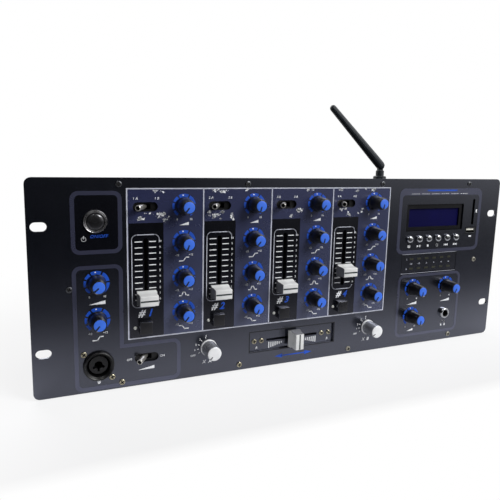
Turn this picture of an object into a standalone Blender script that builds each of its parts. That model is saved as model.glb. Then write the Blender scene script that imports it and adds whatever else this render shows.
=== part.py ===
"""Four channel rack mixer with a built-in card and stick player.

Every piece is placed in the front panel's own frame: x to the right, y backwards from the
panel's front face and z up from the panel's middle. The empty "mixer" carries that frame.
It stands so that the feet rest at z = 0 and the whole depth is centred on y = 0.
Lengths are in metres.
"""

import math

import bmesh
import bpy
from mathutils import Matrix

# General fits
gap = 0.0003
overrun = 0.002
hole_sides = 8
small_corner_steps = 2

# Front panel
panel_width = 0.4826
panel_height = 0.177
panel_thickness = 0.002
panel_corner = 0.0052
panel_corner_steps = 5
rack_slot_inset = 0.00875
rack_slot_z = 0.0508
rack_slot_length = 0.012
rack_slot_height = 0.0072
slot_end_steps = 4

# Columns and rows of the controls on the panel
knob_row_top = 0.0651
knob_row_pitch = 0.0306
left_column_inset = 0.0503
strips_inset_left = 0.0751
strips_inset_right = 0.1503
strip_fader_share = 0.2302
strip_knob_share = 0.7356
strip_cue_share = 0.2146
strip_count = 4
toggle_row_z = 0.0647
master_inset = 0.1116
phones_inset = 0.0665
meter_inset = 0.0918
crossfader_share = 0.6038
crossfader_z = -0.0636
assign_share = 1.3266
assign_z = -0.0626
talkover_z = -0.0643

# Rotary controls
shaft_radius = 0.003
shaft_hole_gap = 0.0006
shaft_reach = 0.0047
knob_height = 0.0166
knob_skirt_radius = 0.0074
knob_skirt_height = 0.002
knob_nose_radius = 0.0055
knob_cap_radius = 0.0049
knob_cap_rise = 0.0009
knob_lift = 0.0005
knob_sides = 16
assign_knob_height = 0.018
assign_base_radius = 0.0075
assign_nose_radius = 0.0066
assign_edge = 0.0008
pot_width = 0.011

# Sliding controls
fader_travel = 0.045
fader_mid_z = 0.0113
fader_cap_width = 0.0163
fader_cap_base = 0.0118
fader_cap_ridge = 0.0086
fader_cap_waist = 0.0096
fader_cap_height = 0.0142
fader_cap_lip = 0.0022
fader_cap_scoop = 0.0058
fader_cap_taper = 0.0006
fader_cap_lift = 0.001
fader_stem_width = 0.0016
fader_stem_length = 0.0044
fader_stem_reach = 0.0072
fader_slot_width = 0.0032
fader_slot_spare = 0.0025
fader_body_width = 0.01
fader_body_spare = 0.005
fader_four_raise = 0.0106

# Toggle switches
toggle_slot_length = 0.0204
toggle_slot_height = 0.0076
toggle_pivot_depth = 0.005
toggle_stand = 0.009
toggle_lean = math.radians(29.7)
toggle_ball_radius = 0.002
toggle_neck_radius = 0.0014
toggle_tip_radius = 0.0023
toggle_tip_length = 0.012
toggle_sides = 12
toggle_body_length = 0.026
toggle_body_height = 0.0116
toggle_pocket_length = 0.0092

# Cue buttons
cue_z = -0.0366
cue_size = 0.0086
cue_stand = 0.0056
cue_edge = 0.0005
cue_flange = 0.001
cue_flange_thickness = 0.001
cue_stem = 0.003
cue_stem_reach = 0.006
cue_travel = 0.0015
cue_switch_size = 0.008

# Power switch
power_z = 0.054
power_bezel_radius = 0.0093
power_bezel_height = 0.0026
power_bezel_edge = 0.0007
power_body_radius = 0.0079
power_bore_radius = 0.007
power_body_depth = 0.026
power_button_radius = 0.0066
power_button_rise = 0.0042
power_button_crown = 0.0009
power_button_tail = 0.0026
power_travel = 0.0025
power_button_spare = 0.0014
power_sides = 24

# Microphone jack
mic_z = -0.066
mic_barrel_radius = 0.0123
mic_front_rise = 0.0034
mic_rim_edge = 0.0006
mic_rim_slope = 0.0014
mic_bore_radius = 0.0094
mic_core_radius = 0.0069
mic_core_depth = 0.001
mic_bore_depth = 0.014
mic_plug_radius = 0.0034
mic_plug_depth = 0.027
mic_body_depth = 0.03
mic_flange_width = 0.0284
mic_flange_height = 0.0284
mic_flange_thickness = 0.002
mic_flange_corner = 0.002
jack_sides = 20

# Phones jack
phones_jack_z = -0.0577
phones_nut_radius = 0.0058
phones_nut_height = 0.0035
phones_nut_edge = 0.0006
phones_bush_radius = 0.0044
phones_plug_radius = 0.0034
phones_plug_depth = 0.02
phones_body_size = 0.014
phones_body_depth = 0.022

# Crossfader plate
plate_window_width = 0.0906
plate_window_height = 0.019
plate_border = 0.004
plate_thickness = 0.0015
crossfader_body_height = 0.012

# Player module
window_side_inset = 0.05025
window_z = 0.04835
window_width = 0.0757
window_height = 0.0277
window_corner = 0.001
pane_inset = 0.0008
pane_thickness = 0.0012
lcd_depth = 0.005
lcd_border = 0.001
player_button_shift = 0.0014
player_button_count = 6
player_button_pitch = 0.0124
player_button_z = 0.0262
player_button_radius = 0.0036
player_button_rise = 0.003
player_button_crown = 0.0008
player_button_flange = 0.001
player_button_tail = 0.0032
player_button_travel = 0.0008
player_button_sides = 14
player_switch_size = 0.006
card_slot_inset = 0.0361
card_slot_z = 0.0531
card_slot_width = 0.0032
card_slot_height = 0.0275
card_wall = 0.0014
card_depth = 0.03
stick_port_inset = 0.0379
stick_port_z = 0.0328
stick_port_width = 0.0125
stick_port_height = 0.0052
stick_wall = 0.0009
stick_tongue_width = 0.0108
stick_tongue_thickness = 0.0014
stick_tongue_set_back = 0.0048
stick_cavity_depth = 0.0125
stick_depth = 0.0155
player_board_depth = 0.01
player_board_margin = 0.004

# Level meter
meter_width = 0.073
meter_height = 0.0196
meter_set_back = 0.0005

# Circuit board
board_depth = 0.012
board_thickness = 0.0016
board_margin = 0.009
board_above = 0.0127
board_below = 0.0127
board_beside_jack = 0.003
board_stud_radius = 0.0025
board_stud_beside = 0.0145
board_stud_above = 0.009
board_stud_below = 0.0075

# Chassis and cover
chassis_side_gap = 0.0082
chassis_rise = 0.0795
chassis_drop = 0.0817
chassis_depth = 0.098
chassis_sheet = 0.0012
chassis_tab_width = 0.0122
chassis_tab_height = 0.024
flange_half_height = 0.087
foot_radius = 0.0085
foot_clear = 0.001
foot_inset_x = 0.03
foot_inset_y = 0.016
foot_taper = 0.001
foot_sides = 16

# Rear sockets
socket_columns = 10
socket_share = 0.1096
socket_pitch_z = 0.017
socket_block_inset = 0.157
socket_block_z = 0.044
socket_sleeve_radius = 0.0042
socket_bore_radius = 0.0019
socket_sleeve_length = 0.009
socket_block_thickness = 0.003
socket_block_border = 0.009
socket_sides = 8
socket_bore_sides = 6

# Mains inlet
inlet_inset = 0.069
inlet_z = -0.045
inlet_width = 0.0275
inlet_height = 0.02
inlet_wall = 0.0015
inlet_corner = 0.004
inlet_corner_steps = 3
inlet_recess = 0.015
inlet_body_depth = 0.018
inlet_flange_width = 0.049
inlet_flange_height = 0.023
inlet_flange_thickness = 0.0025

# Power supply
supply_inset = 0.094
supply_gap = 0.002
supply_board_width = 0.084
supply_board_length = 0.044
supply_leg_radius = 0.003
supply_leg_height = 0.006
supply_leg_inset = 0.006
transformer_width = 0.044
transformer_length = 0.036
transformer_height = 0.034
transformer_shift = 0.016
capacitor_radius = 0.008
capacitor_height = 0.025
capacitor_shift = 0.026
capacitor_sides = 12

# Antenna
antenna_inset = 0.107
antenna_depth = 0.045
antenna_base_radius = 0.007
antenna_base_height = 0.0078
antenna_base_edge = 0.0008
antenna_bush_radius = 0.0032
antenna_bush_length = 0.006
antenna_collar_radius = 0.0044
antenna_collar_height = 0.0057
antenna_collar_edge = 0.0005
antenna_tongue_width = 0.006
antenna_tongue_thickness = 0.0028
antenna_cheek_gap = 0.0007
antenna_rod_radius = 0.0047
antenna_tip_radius = 0.0033
antenna_rod_length = 0.088
antenna_pin_radius = 0.0011
antenna_pin_sides = 12
antenna_slot_spare = 0.0005
antenna_raise = math.radians(42.2)
antenna_sides = 14

# Places worked out from the sizes above
panel_half = panel_width / 2
rack_slot_x = panel_half - rack_slot_inset
left_column_x = left_column_inset - panel_half
strip_left_x = strips_inset_left - panel_half
strip_pitch = (panel_width - strips_inset_left - strips_inset_right) / strip_count
strip_fader_offset = strip_pitch * strip_fader_share
strip_knob_offset = strip_pitch * strip_knob_share
strip_cue_offset = strip_pitch * strip_cue_share
crossfader_x = strip_left_x + strip_pitch * strip_count * crossfader_share
assign_spacing = strip_pitch * assign_share
master_x = panel_half - master_inset
phones_x = panel_half - phones_inset
meter_x = panel_half - meter_inset
window_x = panel_half - window_side_inset - window_width / 2
player_button_reach = player_button_pitch * (player_button_count - 1) / 2
player_button_x = window_x - player_button_shift - player_button_reach
card_slot_x = panel_half - card_slot_inset
stick_port_x = panel_half - stick_port_inset
left_reach = mic_flange_width / 2 - left_column_x
right_reach = card_slot_x + card_slot_width / 2 + player_board_margin
chassis_half_width = max(left_reach, right_reach) + chassis_side_gap
inlet_x = inlet_inset - chassis_half_width
supply_x = supply_inset - chassis_half_width
antenna_x = chassis_half_width - antenna_inset
socket_block_x = chassis_half_width - socket_block_inset
socket_pitch_x = chassis_half_width * socket_share
front_reach = assign_knob_height
rear_reach = chassis_depth + socket_sleeve_length
supply_depth = chassis_depth - inlet_body_depth - supply_gap - supply_board_length / 2
panel_front_y = (front_reach - rear_reach) / 2
panel_middle_z = foot_clear + panel_height / 2
behind_panel = panel_thickness + gap
shaft_hole_radius = shaft_radius + shaft_hole_gap
pot_front = shaft_reach + gap
power_bore_depth = power_button_tail + power_travel + power_button_spare
fader_rest_z = fader_mid_z - fader_travel / 2
fader_slot_length = fader_travel + fader_stem_length + 2 * fader_slot_spare
strips = [strip_left_x + strip_pitch * i for i in range(strip_count)]
knob_rows = [knob_row_top - knob_row_pitch * i for i in range(5)]
cover_bottom = chassis_rise + gap
cover_top = cover_bottom + chassis_sheet
collar_bottom = cover_top + gap + antenna_base_height + gap
collar_top = collar_bottom + antenna_collar_height
elbow_z = collar_top + antenna_rod_radius + antenna_cheek_gap


def clear_scene():
    for thing in list(bpy.data.objects):
        bpy.data.objects.remove(thing, do_unlink=True)


def make_material(name, colour, roughness, metallic):
    """A plain finish named after its piece."""
    material = bpy.data.materials.new(name + "_finish")
    material.use_nodes = True
    shader = material.node_tree.nodes["Principled BSDF"]
    shader.inputs["Base Color"].default_value = (*colour, 1.0)
    shader.inputs["Roughness"].default_value = roughness
    shader.inputs["Metallic"].default_value = metallic
    return material


BLACK_PAINT = ((0.012, 0.014, 0.022), 0.35, 0.1)
BLACK_PLASTIC = ((0.01, 0.01, 0.012), 0.25, 0.0)
DARK_PLASTIC = ((0.03, 0.03, 0.035), 0.45, 0.0)
WHITE_PLASTIC = ((0.85, 0.86, 0.84), 0.3, 0.0)
CHROME = ((0.75, 0.76, 0.78), 0.12, 1.0)
BOARD_GREEN = ((0.02, 0.12, 0.05), 0.5, 0.0)
STEEL = ((0.25, 0.26, 0.28), 0.4, 0.9)
SLATE_PLASTIC = ((0.05, 0.065, 0.09), 0.5, 0.0)


def new_mesh(name, shape):
    """Turns a finished bmesh into a mesh with its faces pointing out."""
    bmesh.ops.recalc_face_normals(shape, faces=shape.faces)
    mesh = bpy.data.meshes.new(name)
    shape.to_mesh(mesh)
    shape.free()
    return mesh


def place(name, mesh, x=0.0, y=0.0, z=0.0):
    """Adds an object at a place in the panel's frame."""
    thing = bpy.data.objects.new(name, mesh)
    thing.location = (x, y, z)
    thing.parent = mixer
    bpy.context.scene.collection.objects.link(thing)
    return thing


def add_piece(name, mesh, finish, x=0.0, y=0.0, z=0.0):
    """Adds a named piece of the mixer with its own finish."""
    thing = place(name, mesh, x, y, z)
    if not mesh.materials:
        mesh.materials.append(None)
    slot = thing.material_slots[0]
    slot.link = "OBJECT"
    slot.material = make_material(name, *finish)
    return thing


def combine(piece, operation, shape):
    """Joins a shape, given in the piece's own frame, to the piece, or cuts it away."""
    name = f"{piece.name}_{operation.lower()}_{len(piece.modifiers)}"
    guide = place(name, new_mesh(name, shape), *piece.location)
    guide.rotation_euler = piece.rotation_euler
    guide.hide_render = True
    guide.display_type = "WIRE"
    step = piece.modifiers.new(operation.lower(), "BOOLEAN")
    step.operation = operation
    step.solver = "EXACT"
    step.object = guide


def smooth(mesh):
    mesh.shade_smooth()
    mesh.set_sharp_from_angle(angle=math.radians(35))


def add_box(shape, x, z, width, height, front, back):
    """A box centred on x and z, from one depth to another."""
    made = bmesh.ops.create_cube(shape, size=1.0)["verts"]
    bmesh.ops.scale(shape, vec=(width, back - front, height), verts=made)
    bmesh.ops.translate(shape, vec=(x, (front + back) / 2, z), verts=made)


def add_prism(shape, outline, front, back):
    """An outline in x and z, extruded from one depth to another."""
    corners = [shape.verts.new((x, front, z)) for x, z in outline]
    face = shape.faces.new(corners)
    made = bmesh.ops.extrude_face_region(shape, geom=[face])["geom"]
    moved = [v for v in made if isinstance(v, bmesh.types.BMVert)]
    bmesh.ops.translate(shape, vec=(0, back - front, 0), verts=moved)


def rounded(x, z, width, height, radius, steps=4):
    """The outline of a rectangle with round corners."""
    points = []
    for turn, (side, level) in enumerate(((1, 1), (-1, 1), (-1, -1), (1, -1))):
        centre_x = x + side * (width / 2 - radius)
        centre_z = z + level * (height / 2 - radius)
        for i in range(steps + 1):
            angle = math.pi / 2 * (turn + i / steps)
            point = (centre_x + radius * math.cos(angle), centre_z + radius * math.sin(angle))
            if not points or math.dist(points[-1], point) > gap / 10:
                points.append(point)
    if math.dist(points[0], points[-1]) < gap / 10:
        points.pop()
    return points


def stadium(x, z, length, height):
    return rounded(x, z, length, height, height / 2, slot_end_steps)


def add_turned(shape, profile, sides, x=0.0, z=0.0):
    """A profile of radius and depth, turned about a line along y."""
    verts = [shape.verts.new((x + radius, depth, z)) for radius, depth in profile]
    edges = [shape.edges.new(pair) for pair in zip(verts, verts[1:])]
    bmesh.ops.spin(
        shape, geom=verts + edges, cent=(x, 0, z), axis=(0, 1, 0), angle=2 * math.pi,
        steps=sides, use_merge=True,
    )
    bmesh.ops.remove_doubles(shape, verts=shape.verts, dist=gap / 100)


def add_rod(shape, x, z, radius, front, back, sides):
    add_turned(shape, [(0, front), (radius, front), (radius, back), (0, back)], sides, x, z)


def knob_mesh():
    """A tapered knob on its shaft, with a raised round cap on its nose."""
    nose = -(knob_height - knob_cap_rise)
    profile = [
        (0, -knob_height),
        (knob_cap_radius, -knob_height),
        (knob_nose_radius, nose),
        (knob_skirt_radius, -knob_skirt_height),
        (knob_skirt_radius, -knob_lift),
        (shaft_radius, -knob_lift),
        (shaft_radius, shaft_reach),
        (0, shaft_reach),
    ]
    shape = bmesh.new()
    add_turned(shape, profile, knob_sides)
    mesh = new_mesh("knob", shape)
    smooth(mesh)
    return mesh


def assign_knob_mesh():
    """A taller, nearly straight knob on its shaft."""
    profile = [
        (0, -assign_knob_height),
        (assign_nose_radius - assign_edge, -assign_knob_height),
        (assign_nose_radius, -(assign_knob_height - assign_edge)),
        (assign_base_radius, -knob_lift),
        (shaft_radius, -knob_lift),
        (shaft_radius, shaft_reach),
        (0, shaft_reach),
    ]
    shape = bmesh.new()
    add_turned(shape, profile, knob_sides)
    mesh = new_mesh("assign_knob", shape)
    smooth(mesh)
    return mesh


def fader_mesh():
    """A scooped cap on a flat stem that reaches into the slider's body."""
    lip = fader_cap_lift + fader_cap_lip
    waist = fader_cap_lift + fader_cap_scoop
    half_base = fader_cap_base / 2
    half_waist = fader_cap_waist / 2
    half_ridge = fader_cap_ridge / 2
    side = [
        (-fader_cap_lift, half_base),
        (-lip, half_base),
        (-waist, half_waist),
        (-fader_cap_height, half_ridge),
        (-fader_cap_height, -half_ridge),
        (-waist, -half_waist),
        (-lip, -half_base),
        (-fader_cap_lift, -half_base),
    ]
    shape = bmesh.new()
    corners = [shape.verts.new((-fader_cap_width / 2, y, z)) for y, z in side]
    face = shape.faces.new(corners)
    made = bmesh.ops.extrude_face_region(shape, geom=[face])["geom"]
    moved = [v for v in made if isinstance(v, bmesh.types.BMVert)]
    bmesh.ops.translate(shape, vec=(fader_cap_width, 0, 0), verts=moved)
    ridge_share = 1 - 2 * fader_cap_taper / fader_cap_width
    ridge = [v for v in shape.verts if v.co.y < -waist - gap]
    bmesh.ops.scale(shape, vec=(ridge_share, 1, 1), verts=ridge)
    return new_mesh("fader", shape)


def fader_stem():
    shape = bmesh.new()
    sunk = -fader_cap_lift - fader_cap_lip / 2
    add_box(shape, 0, 0, fader_stem_width, fader_stem_length, sunk, fader_stem_reach)
    return shape


def toggle_mesh():
    """A lever that widens to a round tip, on the ball that it rocks about."""
    length = toggle_pivot_depth + toggle_stand
    length = length / math.cos(toggle_lean)
    tip = toggle_tip_radius
    ball_share = math.sqrt(1 - (toggle_neck_radius / toggle_ball_radius) ** 2)
    profile = [(0, toggle_ball_radius)]
    for i in range(1, 4):
        angle = math.pi / 4 * i - math.pi / 2
        ball = toggle_ball_radius
        profile.append((ball * math.cos(angle), -ball * math.sin(angle)))
    profile.append((toggle_neck_radius, -toggle_ball_radius * ball_share))
    profile.append((toggle_neck_radius, -(length - toggle_tip_length)))
    for i in range(4):
        angle = math.pi / 6 * i
        profile.append((tip * math.cos(angle), -(length - tip) - tip * math.sin(angle)))
    shape = bmesh.new()
    add_turned(shape, profile, toggle_sides)
    mesh = new_mesh("toggle", shape)
    smooth(mesh)
    return mesh


def button_mesh(name, radius, rise, crown, tail, sides, flange):
    """A round button with a crowned face and, where it has one, a flange behind the panel."""
    profile = [(0, -rise), (radius / 2, -rise + crown / 4), (radius - crown / 2, -rise + crown)]
    profile.append((radius, -rise + 2 * crown))
    if flange:
        profile.append((radius, behind_panel))
        profile.append((radius + flange, behind_panel))
        profile.append((radius + flange, tail))
    else:
        profile.append((radius, tail))
    profile.append((0, tail))
    shape = bmesh.new()
    add_turned(shape, profile, sides)
    mesh = new_mesh(name, shape)
    smooth(mesh)
    return mesh


def cue_mesh():
    """A square key with a flange that holds it behind the panel, and its plunger."""
    shape = bmesh.new()
    add_box(shape, 0, 0, cue_size, cue_size, -cue_stand, behind_panel + cue_flange_thickness / 2)
    front = [e for e in shape.edges if all(v.co.y < -cue_stand + gap for v in e.verts)]
    sides = [e for e in shape.edges if abs(e.verts[0].co.y - e.verts[1].co.y) > gap]
    bmesh.ops.bevel(
        shape, geom=front + sides, offset=cue_edge, affect="EDGES", segments=1, profile=0.5,
        material=-1,
    )
    return new_mesh("cue_button", shape)


def cue_flange_shape():
    shape = bmesh.new()
    size = cue_size + 2 * cue_flange
    add_box(shape, 0, 0, size, size, behind_panel, behind_panel + cue_flange_thickness)
    return shape


def cue_stem_shape():
    shape = bmesh.new()
    add_box(shape, 0, 0, cue_stem, cue_stem, panel_thickness, cue_stem_reach)
    return shape


def toggle_places():
    places = [(x + strip_fader_offset, toggle_row_z) for x in strips]
    return places + [(strips[0] + strip_fader_offset, talkover_z)]


def knob_places():
    """Names and places of the round black knobs."""
    places = {}
    for row, name in enumerate(("gain", "high", "mid", "low")):
        for i, x in enumerate(strips):
            places[f"{name}_knob_{i + 1}"] = (x + strip_knob_offset, knob_rows[row])
    places["mic_level_knob"] = (left_column_x, knob_rows[2])
    places["mic_tone_knob"] = (left_column_x, knob_rows[3])
    places["master_knob"] = (master_x, knob_rows[3])
    places["phones_level_knob"] = (phones_x, knob_rows[3])
    places["booth_knob"] = (master_x, knob_rows[4])
    return places


def assign_places():
    return {
        "assign_knob_a": (crossfader_x - assign_spacing, assign_z),
        "assign_knob_b": (crossfader_x + assign_spacing, assign_z),
    }


def cue_places():
    return [(x + strip_cue_offset, cue_z) for x in strips]


def player_places():
    return [
        (player_button_x + player_button_pitch * i, player_button_z)
        for i in range(player_button_count)
    ]


def build_front_panel():
    """The printed plate, with its rack slots and an opening for every control."""
    shape = bmesh.new()
    outline = rounded(0, 0, panel_width, panel_height, panel_corner, panel_corner_steps)
    add_prism(shape, outline, 0, panel_thickness)
    panel = add_piece("front_panel", new_mesh("front_panel", shape), BLACK_PAINT)

    studs = bmesh.new()
    beside = assign_spacing + board_stud_beside
    for x in (crossfader_x - beside, crossfader_x + beside):
        for z in (toggle_row_z + board_stud_above, assign_z - board_stud_below):
            add_rod(
                studs, x, z, board_stud_radius, panel_thickness / 2, board_depth - gap, hole_sides
            )
    combine(panel, "UNION", studs)

    holes = bmesh.new()
    front = -overrun
    back = panel_thickness + overrun
    for side in (-1, 1):
        for level in (-1, 1):
            slot = stadium(side * rack_slot_x, level * rack_slot_z, rack_slot_length, rack_slot_height)
            add_prism(holes, slot, front, back)
    for x, z in list(knob_places().values()) + list(assign_places().values()):
        add_rod(holes, x, z, shaft_hole_radius, front, back, hole_sides)
    for x in strips:
        column = x + strip_fader_offset
        add_box(holes, column, fader_mid_z, fader_slot_width, fader_slot_length, front, back)
    for x, z in toggle_places():
        add_prism(holes, stadium(x, z, toggle_slot_length, toggle_slot_height), front, back)
    for x, z in cue_places():
        add_box(holes, x, z, cue_size + 2 * gap, cue_size + 2 * gap, front, back)
    add_rod(holes, left_column_x, power_z, power_body_radius + gap, front, back, power_sides)
    add_rod(holes, left_column_x, mic_z, mic_barrel_radius + gap, front, back, jack_sides)
    add_rod(holes, phones_x, phones_jack_z, phones_bush_radius + gap, front, back, jack_sides)
    for x, z in player_places():
        add_rod(holes, x, z, player_button_radius + gap, front, back, player_button_sides)
    window = rounded(
        window_x, window_z, window_width, window_height, window_corner, small_corner_steps
    )
    add_prism(holes, window, front, back)
    add_box(holes, card_slot_x, card_slot_z, card_slot_width, card_slot_height, front, back)
    add_box(
        holes, stick_port_x, stick_port_z, stick_port_width + 2 * (stick_wall + gap),
        stick_port_height + 2 * (stick_wall + gap), front, back,
    )
    add_box(holes, meter_x, 0, meter_width + 2 * gap, meter_height + 2 * gap, front, back)
    add_box(holes, crossfader_x, crossfader_z, plate_window_width, plate_window_height, front, back)
    combine(panel, "DIFFERENCE", holes)


def add_span(shape, x, width, low, high, front, back):
    """A box centred on x, from one height to another and one depth to another."""
    add_box(shape, x, (low + high) / 2, width, high - low, front, back)


def build_chassis():
    """The folded steel tray with its front flanges, its rear cut-outs and its four feet."""
    front = behind_panel
    back = chassis_depth
    shape = bmesh.new()
    add_span(shape, 0, 2 * chassis_half_width, -chassis_drop, chassis_rise, front, back)
    tray = add_piece("chassis_tray", new_mesh("chassis_tray", shape), STEEL)

    flange = bmesh.new()
    edge = chassis_sheet / 2 - chassis_drop
    width = 2 * chassis_half_width
    add_span(flange, 0, width, -flange_half_height, edge, front, front + chassis_sheet)
    combine(tray, "UNION", flange)

    feet = bmesh.new()
    floor = -panel_height / 2 - foot_clear
    top = chassis_sheet / 2 - chassis_drop
    for side in (-1, 1):
        for depth in (front + foot_inset_y, back - foot_inset_y):
            add_foot(feet, side * (chassis_half_width - foot_inset_x), depth, floor, top)
    combine(tray, "UNION", feet)

    inside = bmesh.new()
    width = 2 * (chassis_half_width - chassis_sheet)
    low = chassis_sheet - chassis_drop
    add_span(inside, 0, width, low, chassis_rise + overrun, front - overrun, back - chassis_sheet)
    combine(tray, "DIFFERENCE", inside)

    tabs = bmesh.new()
    for side in (-1, 1):
        x = side * (chassis_half_width - (chassis_tab_width + chassis_sheet) / 2)
        add_box(tabs, x, 0, chassis_tab_width, chassis_tab_height, front, front + chassis_sheet)
    combine(tray, "UNION", tabs)

    holes = bmesh.new()
    inner_face = back - chassis_sheet - overrun
    for x, z in socket_places():
        add_rod(holes, x, z, socket_sleeve_radius + gap, inner_face, back + overrun, socket_sides)
    outline = rounded(
        inlet_x, inlet_z, inlet_width + 2 * gap, inlet_height + 2 * gap, inlet_corner,
        inlet_corner_steps,
    )
    add_prism(holes, outline, inner_face, back + overrun)
    combine(tray, "DIFFERENCE", holes)


def add_foot(shape, x, y, floor, top):
    """A round foot, a little narrower at the floor."""
    made = bmesh.ops.create_cone(
        shape, cap_ends=True, segments=foot_sides, radius1=foot_radius - foot_taper,
        radius2=foot_radius, depth=top - floor,
    )["verts"]
    bmesh.ops.translate(shape, vec=(x, y, (floor + top) / 2), verts=made)


def build_cover():
    """The flat lid, with a front flange turned up behind the panel."""
    shape = bmesh.new()
    middle = (cover_bottom + cover_top) / 2
    front = behind_panel
    add_span(shape, 0, 2 * chassis_half_width, cover_bottom, cover_top, front, chassis_depth)
    cover = add_piece("top_cover", new_mesh("top_cover", shape), STEEL)

    flange = bmesh.new()
    width = 2 * chassis_half_width
    add_span(flange, 0, width, middle, flange_half_height, front, front + chassis_sheet)
    combine(cover, "UNION", flange)

    hole = bmesh.new()
    made = bmesh.ops.create_cone(
        hole, cap_ends=True, segments=antenna_sides, radius1=antenna_bush_radius + gap,
        radius2=antenna_bush_radius + gap, depth=2 * overrun + chassis_sheet,
    )["verts"]
    bmesh.ops.translate(hole, vec=(antenna_x, antenna_depth, middle), verts=made)
    combine(cover, "DIFFERENCE", hole)


def build_control_board():
    """The circuit board behind the panel, with the bodies of the controls soldered to it."""
    left = left_column_x - board_margin - pot_width / 2
    right = phones_x + board_margin + phones_body_size / 2
    top = toggle_row_z + board_above
    bottom = assign_z - board_below
    step_right = strips[-1] + strip_knob_offset + board_margin + pot_width
    step_left = left_column_x + mic_flange_width / 2 + board_beside_jack
    meter_top = meter_height / 2 + overrun
    mic_top = knob_rows[2] + pot_width / 2 + board_margin
    mic_bottom = knob_rows[3] - pot_width / 2 - board_margin
    outline = [
        (step_left, bottom), (right, bottom), (right, meter_top), (step_right, meter_top),
        (step_right, top), (step_left, top), (step_left, mic_top), (left, mic_top),
        (left, mic_bottom), (step_left, mic_bottom),
    ]
    back = board_depth + board_thickness
    sunk = board_depth + board_thickness / 2
    shape = bmesh.new()
    add_prism(shape, outline, board_depth, back)
    board = add_piece("control_board", new_mesh("control_board", shape), BOARD_GREEN)

    bodies = bmesh.new()
    for x, z in list(knob_places().values()) + list(assign_places().values()):
        add_box(bodies, x, z, pot_width, pot_width, pot_front, sunk)
    for x, z in toggle_places():
        add_box(bodies, x, z, toggle_body_length, toggle_body_height, behind_panel, sunk)
    body_length = fader_slot_length + 2 * fader_body_spare
    for x in strips:
        add_box(
            bodies, x + strip_fader_offset, fader_mid_z, fader_body_width, body_length,
            behind_panel, sunk,
        )
    switch_front = cue_stem_reach + cue_travel + gap
    for x, z in cue_places():
        add_box(bodies, x, z, cue_switch_size, cue_switch_size, switch_front, sunk)
    add_box(bodies, meter_x, 0, meter_width, meter_height, meter_set_back, sunk)
    combine(board, "UNION", bodies)

    pockets = bmesh.new()
    pocket_back = toggle_pivot_depth + toggle_ball_radius + gap
    pocket_height = 2 * (toggle_ball_radius + gap)
    for x, z in toggle_places():
        add_box(pockets, x, z, toggle_pocket_length, pocket_height, 0, pocket_back)
    groove = fader_stem_width + 2 * gap
    for x in strips:
        add_box(
            pockets, x + strip_fader_offset, fader_mid_z, groove, fader_slot_length, 0,
            fader_stem_reach + gap,
        )
    opening = phones_body_size + 2 * gap
    add_box(pockets, phones_x, phones_jack_z, opening, opening, 0, back + overrun)
    combine(board, "DIFFERENCE", pockets)


def build_crossfader_plate():
    """The sunk plate that carries the crossfader's body behind its slot."""
    width = plate_window_width + 2 * plate_border
    height = plate_window_height + 2 * plate_border
    front = behind_panel
    shape = bmesh.new()
    add_box(shape, crossfader_x, crossfader_z, width, height, front, front + plate_thickness)
    plate = add_piece("crossfader_plate", new_mesh("crossfader_plate", shape), BLACK_PAINT)

    body = bmesh.new()
    body_length = fader_slot_length + 2 * fader_body_spare
    add_box(
        body, crossfader_x, crossfader_z, body_length, crossfader_body_height,
        front + plate_thickness / 2, board_depth - gap,
    )
    combine(plate, "UNION", body)

    slot = bmesh.new()
    groove = fader_stem_width + 2 * gap
    add_box(slot, crossfader_x, crossfader_z, fader_slot_length, groove, 0, fader_stem_reach + gap)
    combine(plate, "DIFFERENCE", slot)


def build_power_switch():
    """The ring on the panel with the switch's round body behind it."""
    profile = [
        (0, power_bore_depth),
        (power_bore_radius, power_bore_depth),
        (power_bore_radius, -power_bezel_height),
        (power_bezel_radius - power_bezel_edge, -power_bezel_height),
        (power_bezel_radius, -power_bezel_height + power_bezel_edge),
        (power_bezel_radius, -gap),
        (power_body_radius, -gap),
        (power_body_radius, power_body_depth),
        (0, power_body_depth),
    ]
    shape = bmesh.new()
    add_turned(shape, profile, power_sides)
    mesh = new_mesh("power_switch", shape)
    smooth(mesh)
    add_piece("power_switch", mesh, CHROME, left_column_x, 0, power_z)


def build_mic_jack():
    """The round jack, whose square flange is screwed on behind the panel."""
    rim = -mic_front_rise
    shape = bmesh.new()
    outer = [
        (0, rim),
        (mic_barrel_radius - mic_rim_edge, rim),
        (mic_barrel_radius, rim + mic_rim_edge),
        (mic_barrel_radius, mic_body_depth),
        (0, mic_body_depth),
    ]
    add_turned(shape, outer, jack_sides)
    mesh = new_mesh("mic_jack", shape)
    smooth(mesh)
    jack = add_piece("mic_jack", mesh, BLACK_PLASTIC, left_column_x, 0, mic_z)

    flange = bmesh.new()
    outline = rounded(
        0, 0, mic_flange_width, mic_flange_height, mic_flange_corner, small_corner_steps
    )
    add_prism(flange, outline, behind_panel, behind_panel + mic_flange_thickness)
    combine(jack, "UNION", flange)

    bore = bmesh.new()
    inner = [
        (0, rim - overrun),
        (mic_bore_radius + mic_rim_slope, rim - overrun),
        (mic_bore_radius + mic_rim_slope, rim),
        (mic_bore_radius, rim + mic_rim_slope),
        (mic_bore_radius, mic_bore_depth),
        (mic_core_radius, mic_bore_depth),
        (mic_core_radius, mic_core_depth),
        (mic_plug_radius, mic_core_depth),
        (mic_plug_radius, mic_plug_depth),
        (0, mic_plug_depth),
    ]
    add_turned(bore, inner, jack_sides)
    combine(jack, "DIFFERENCE", bore)


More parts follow.
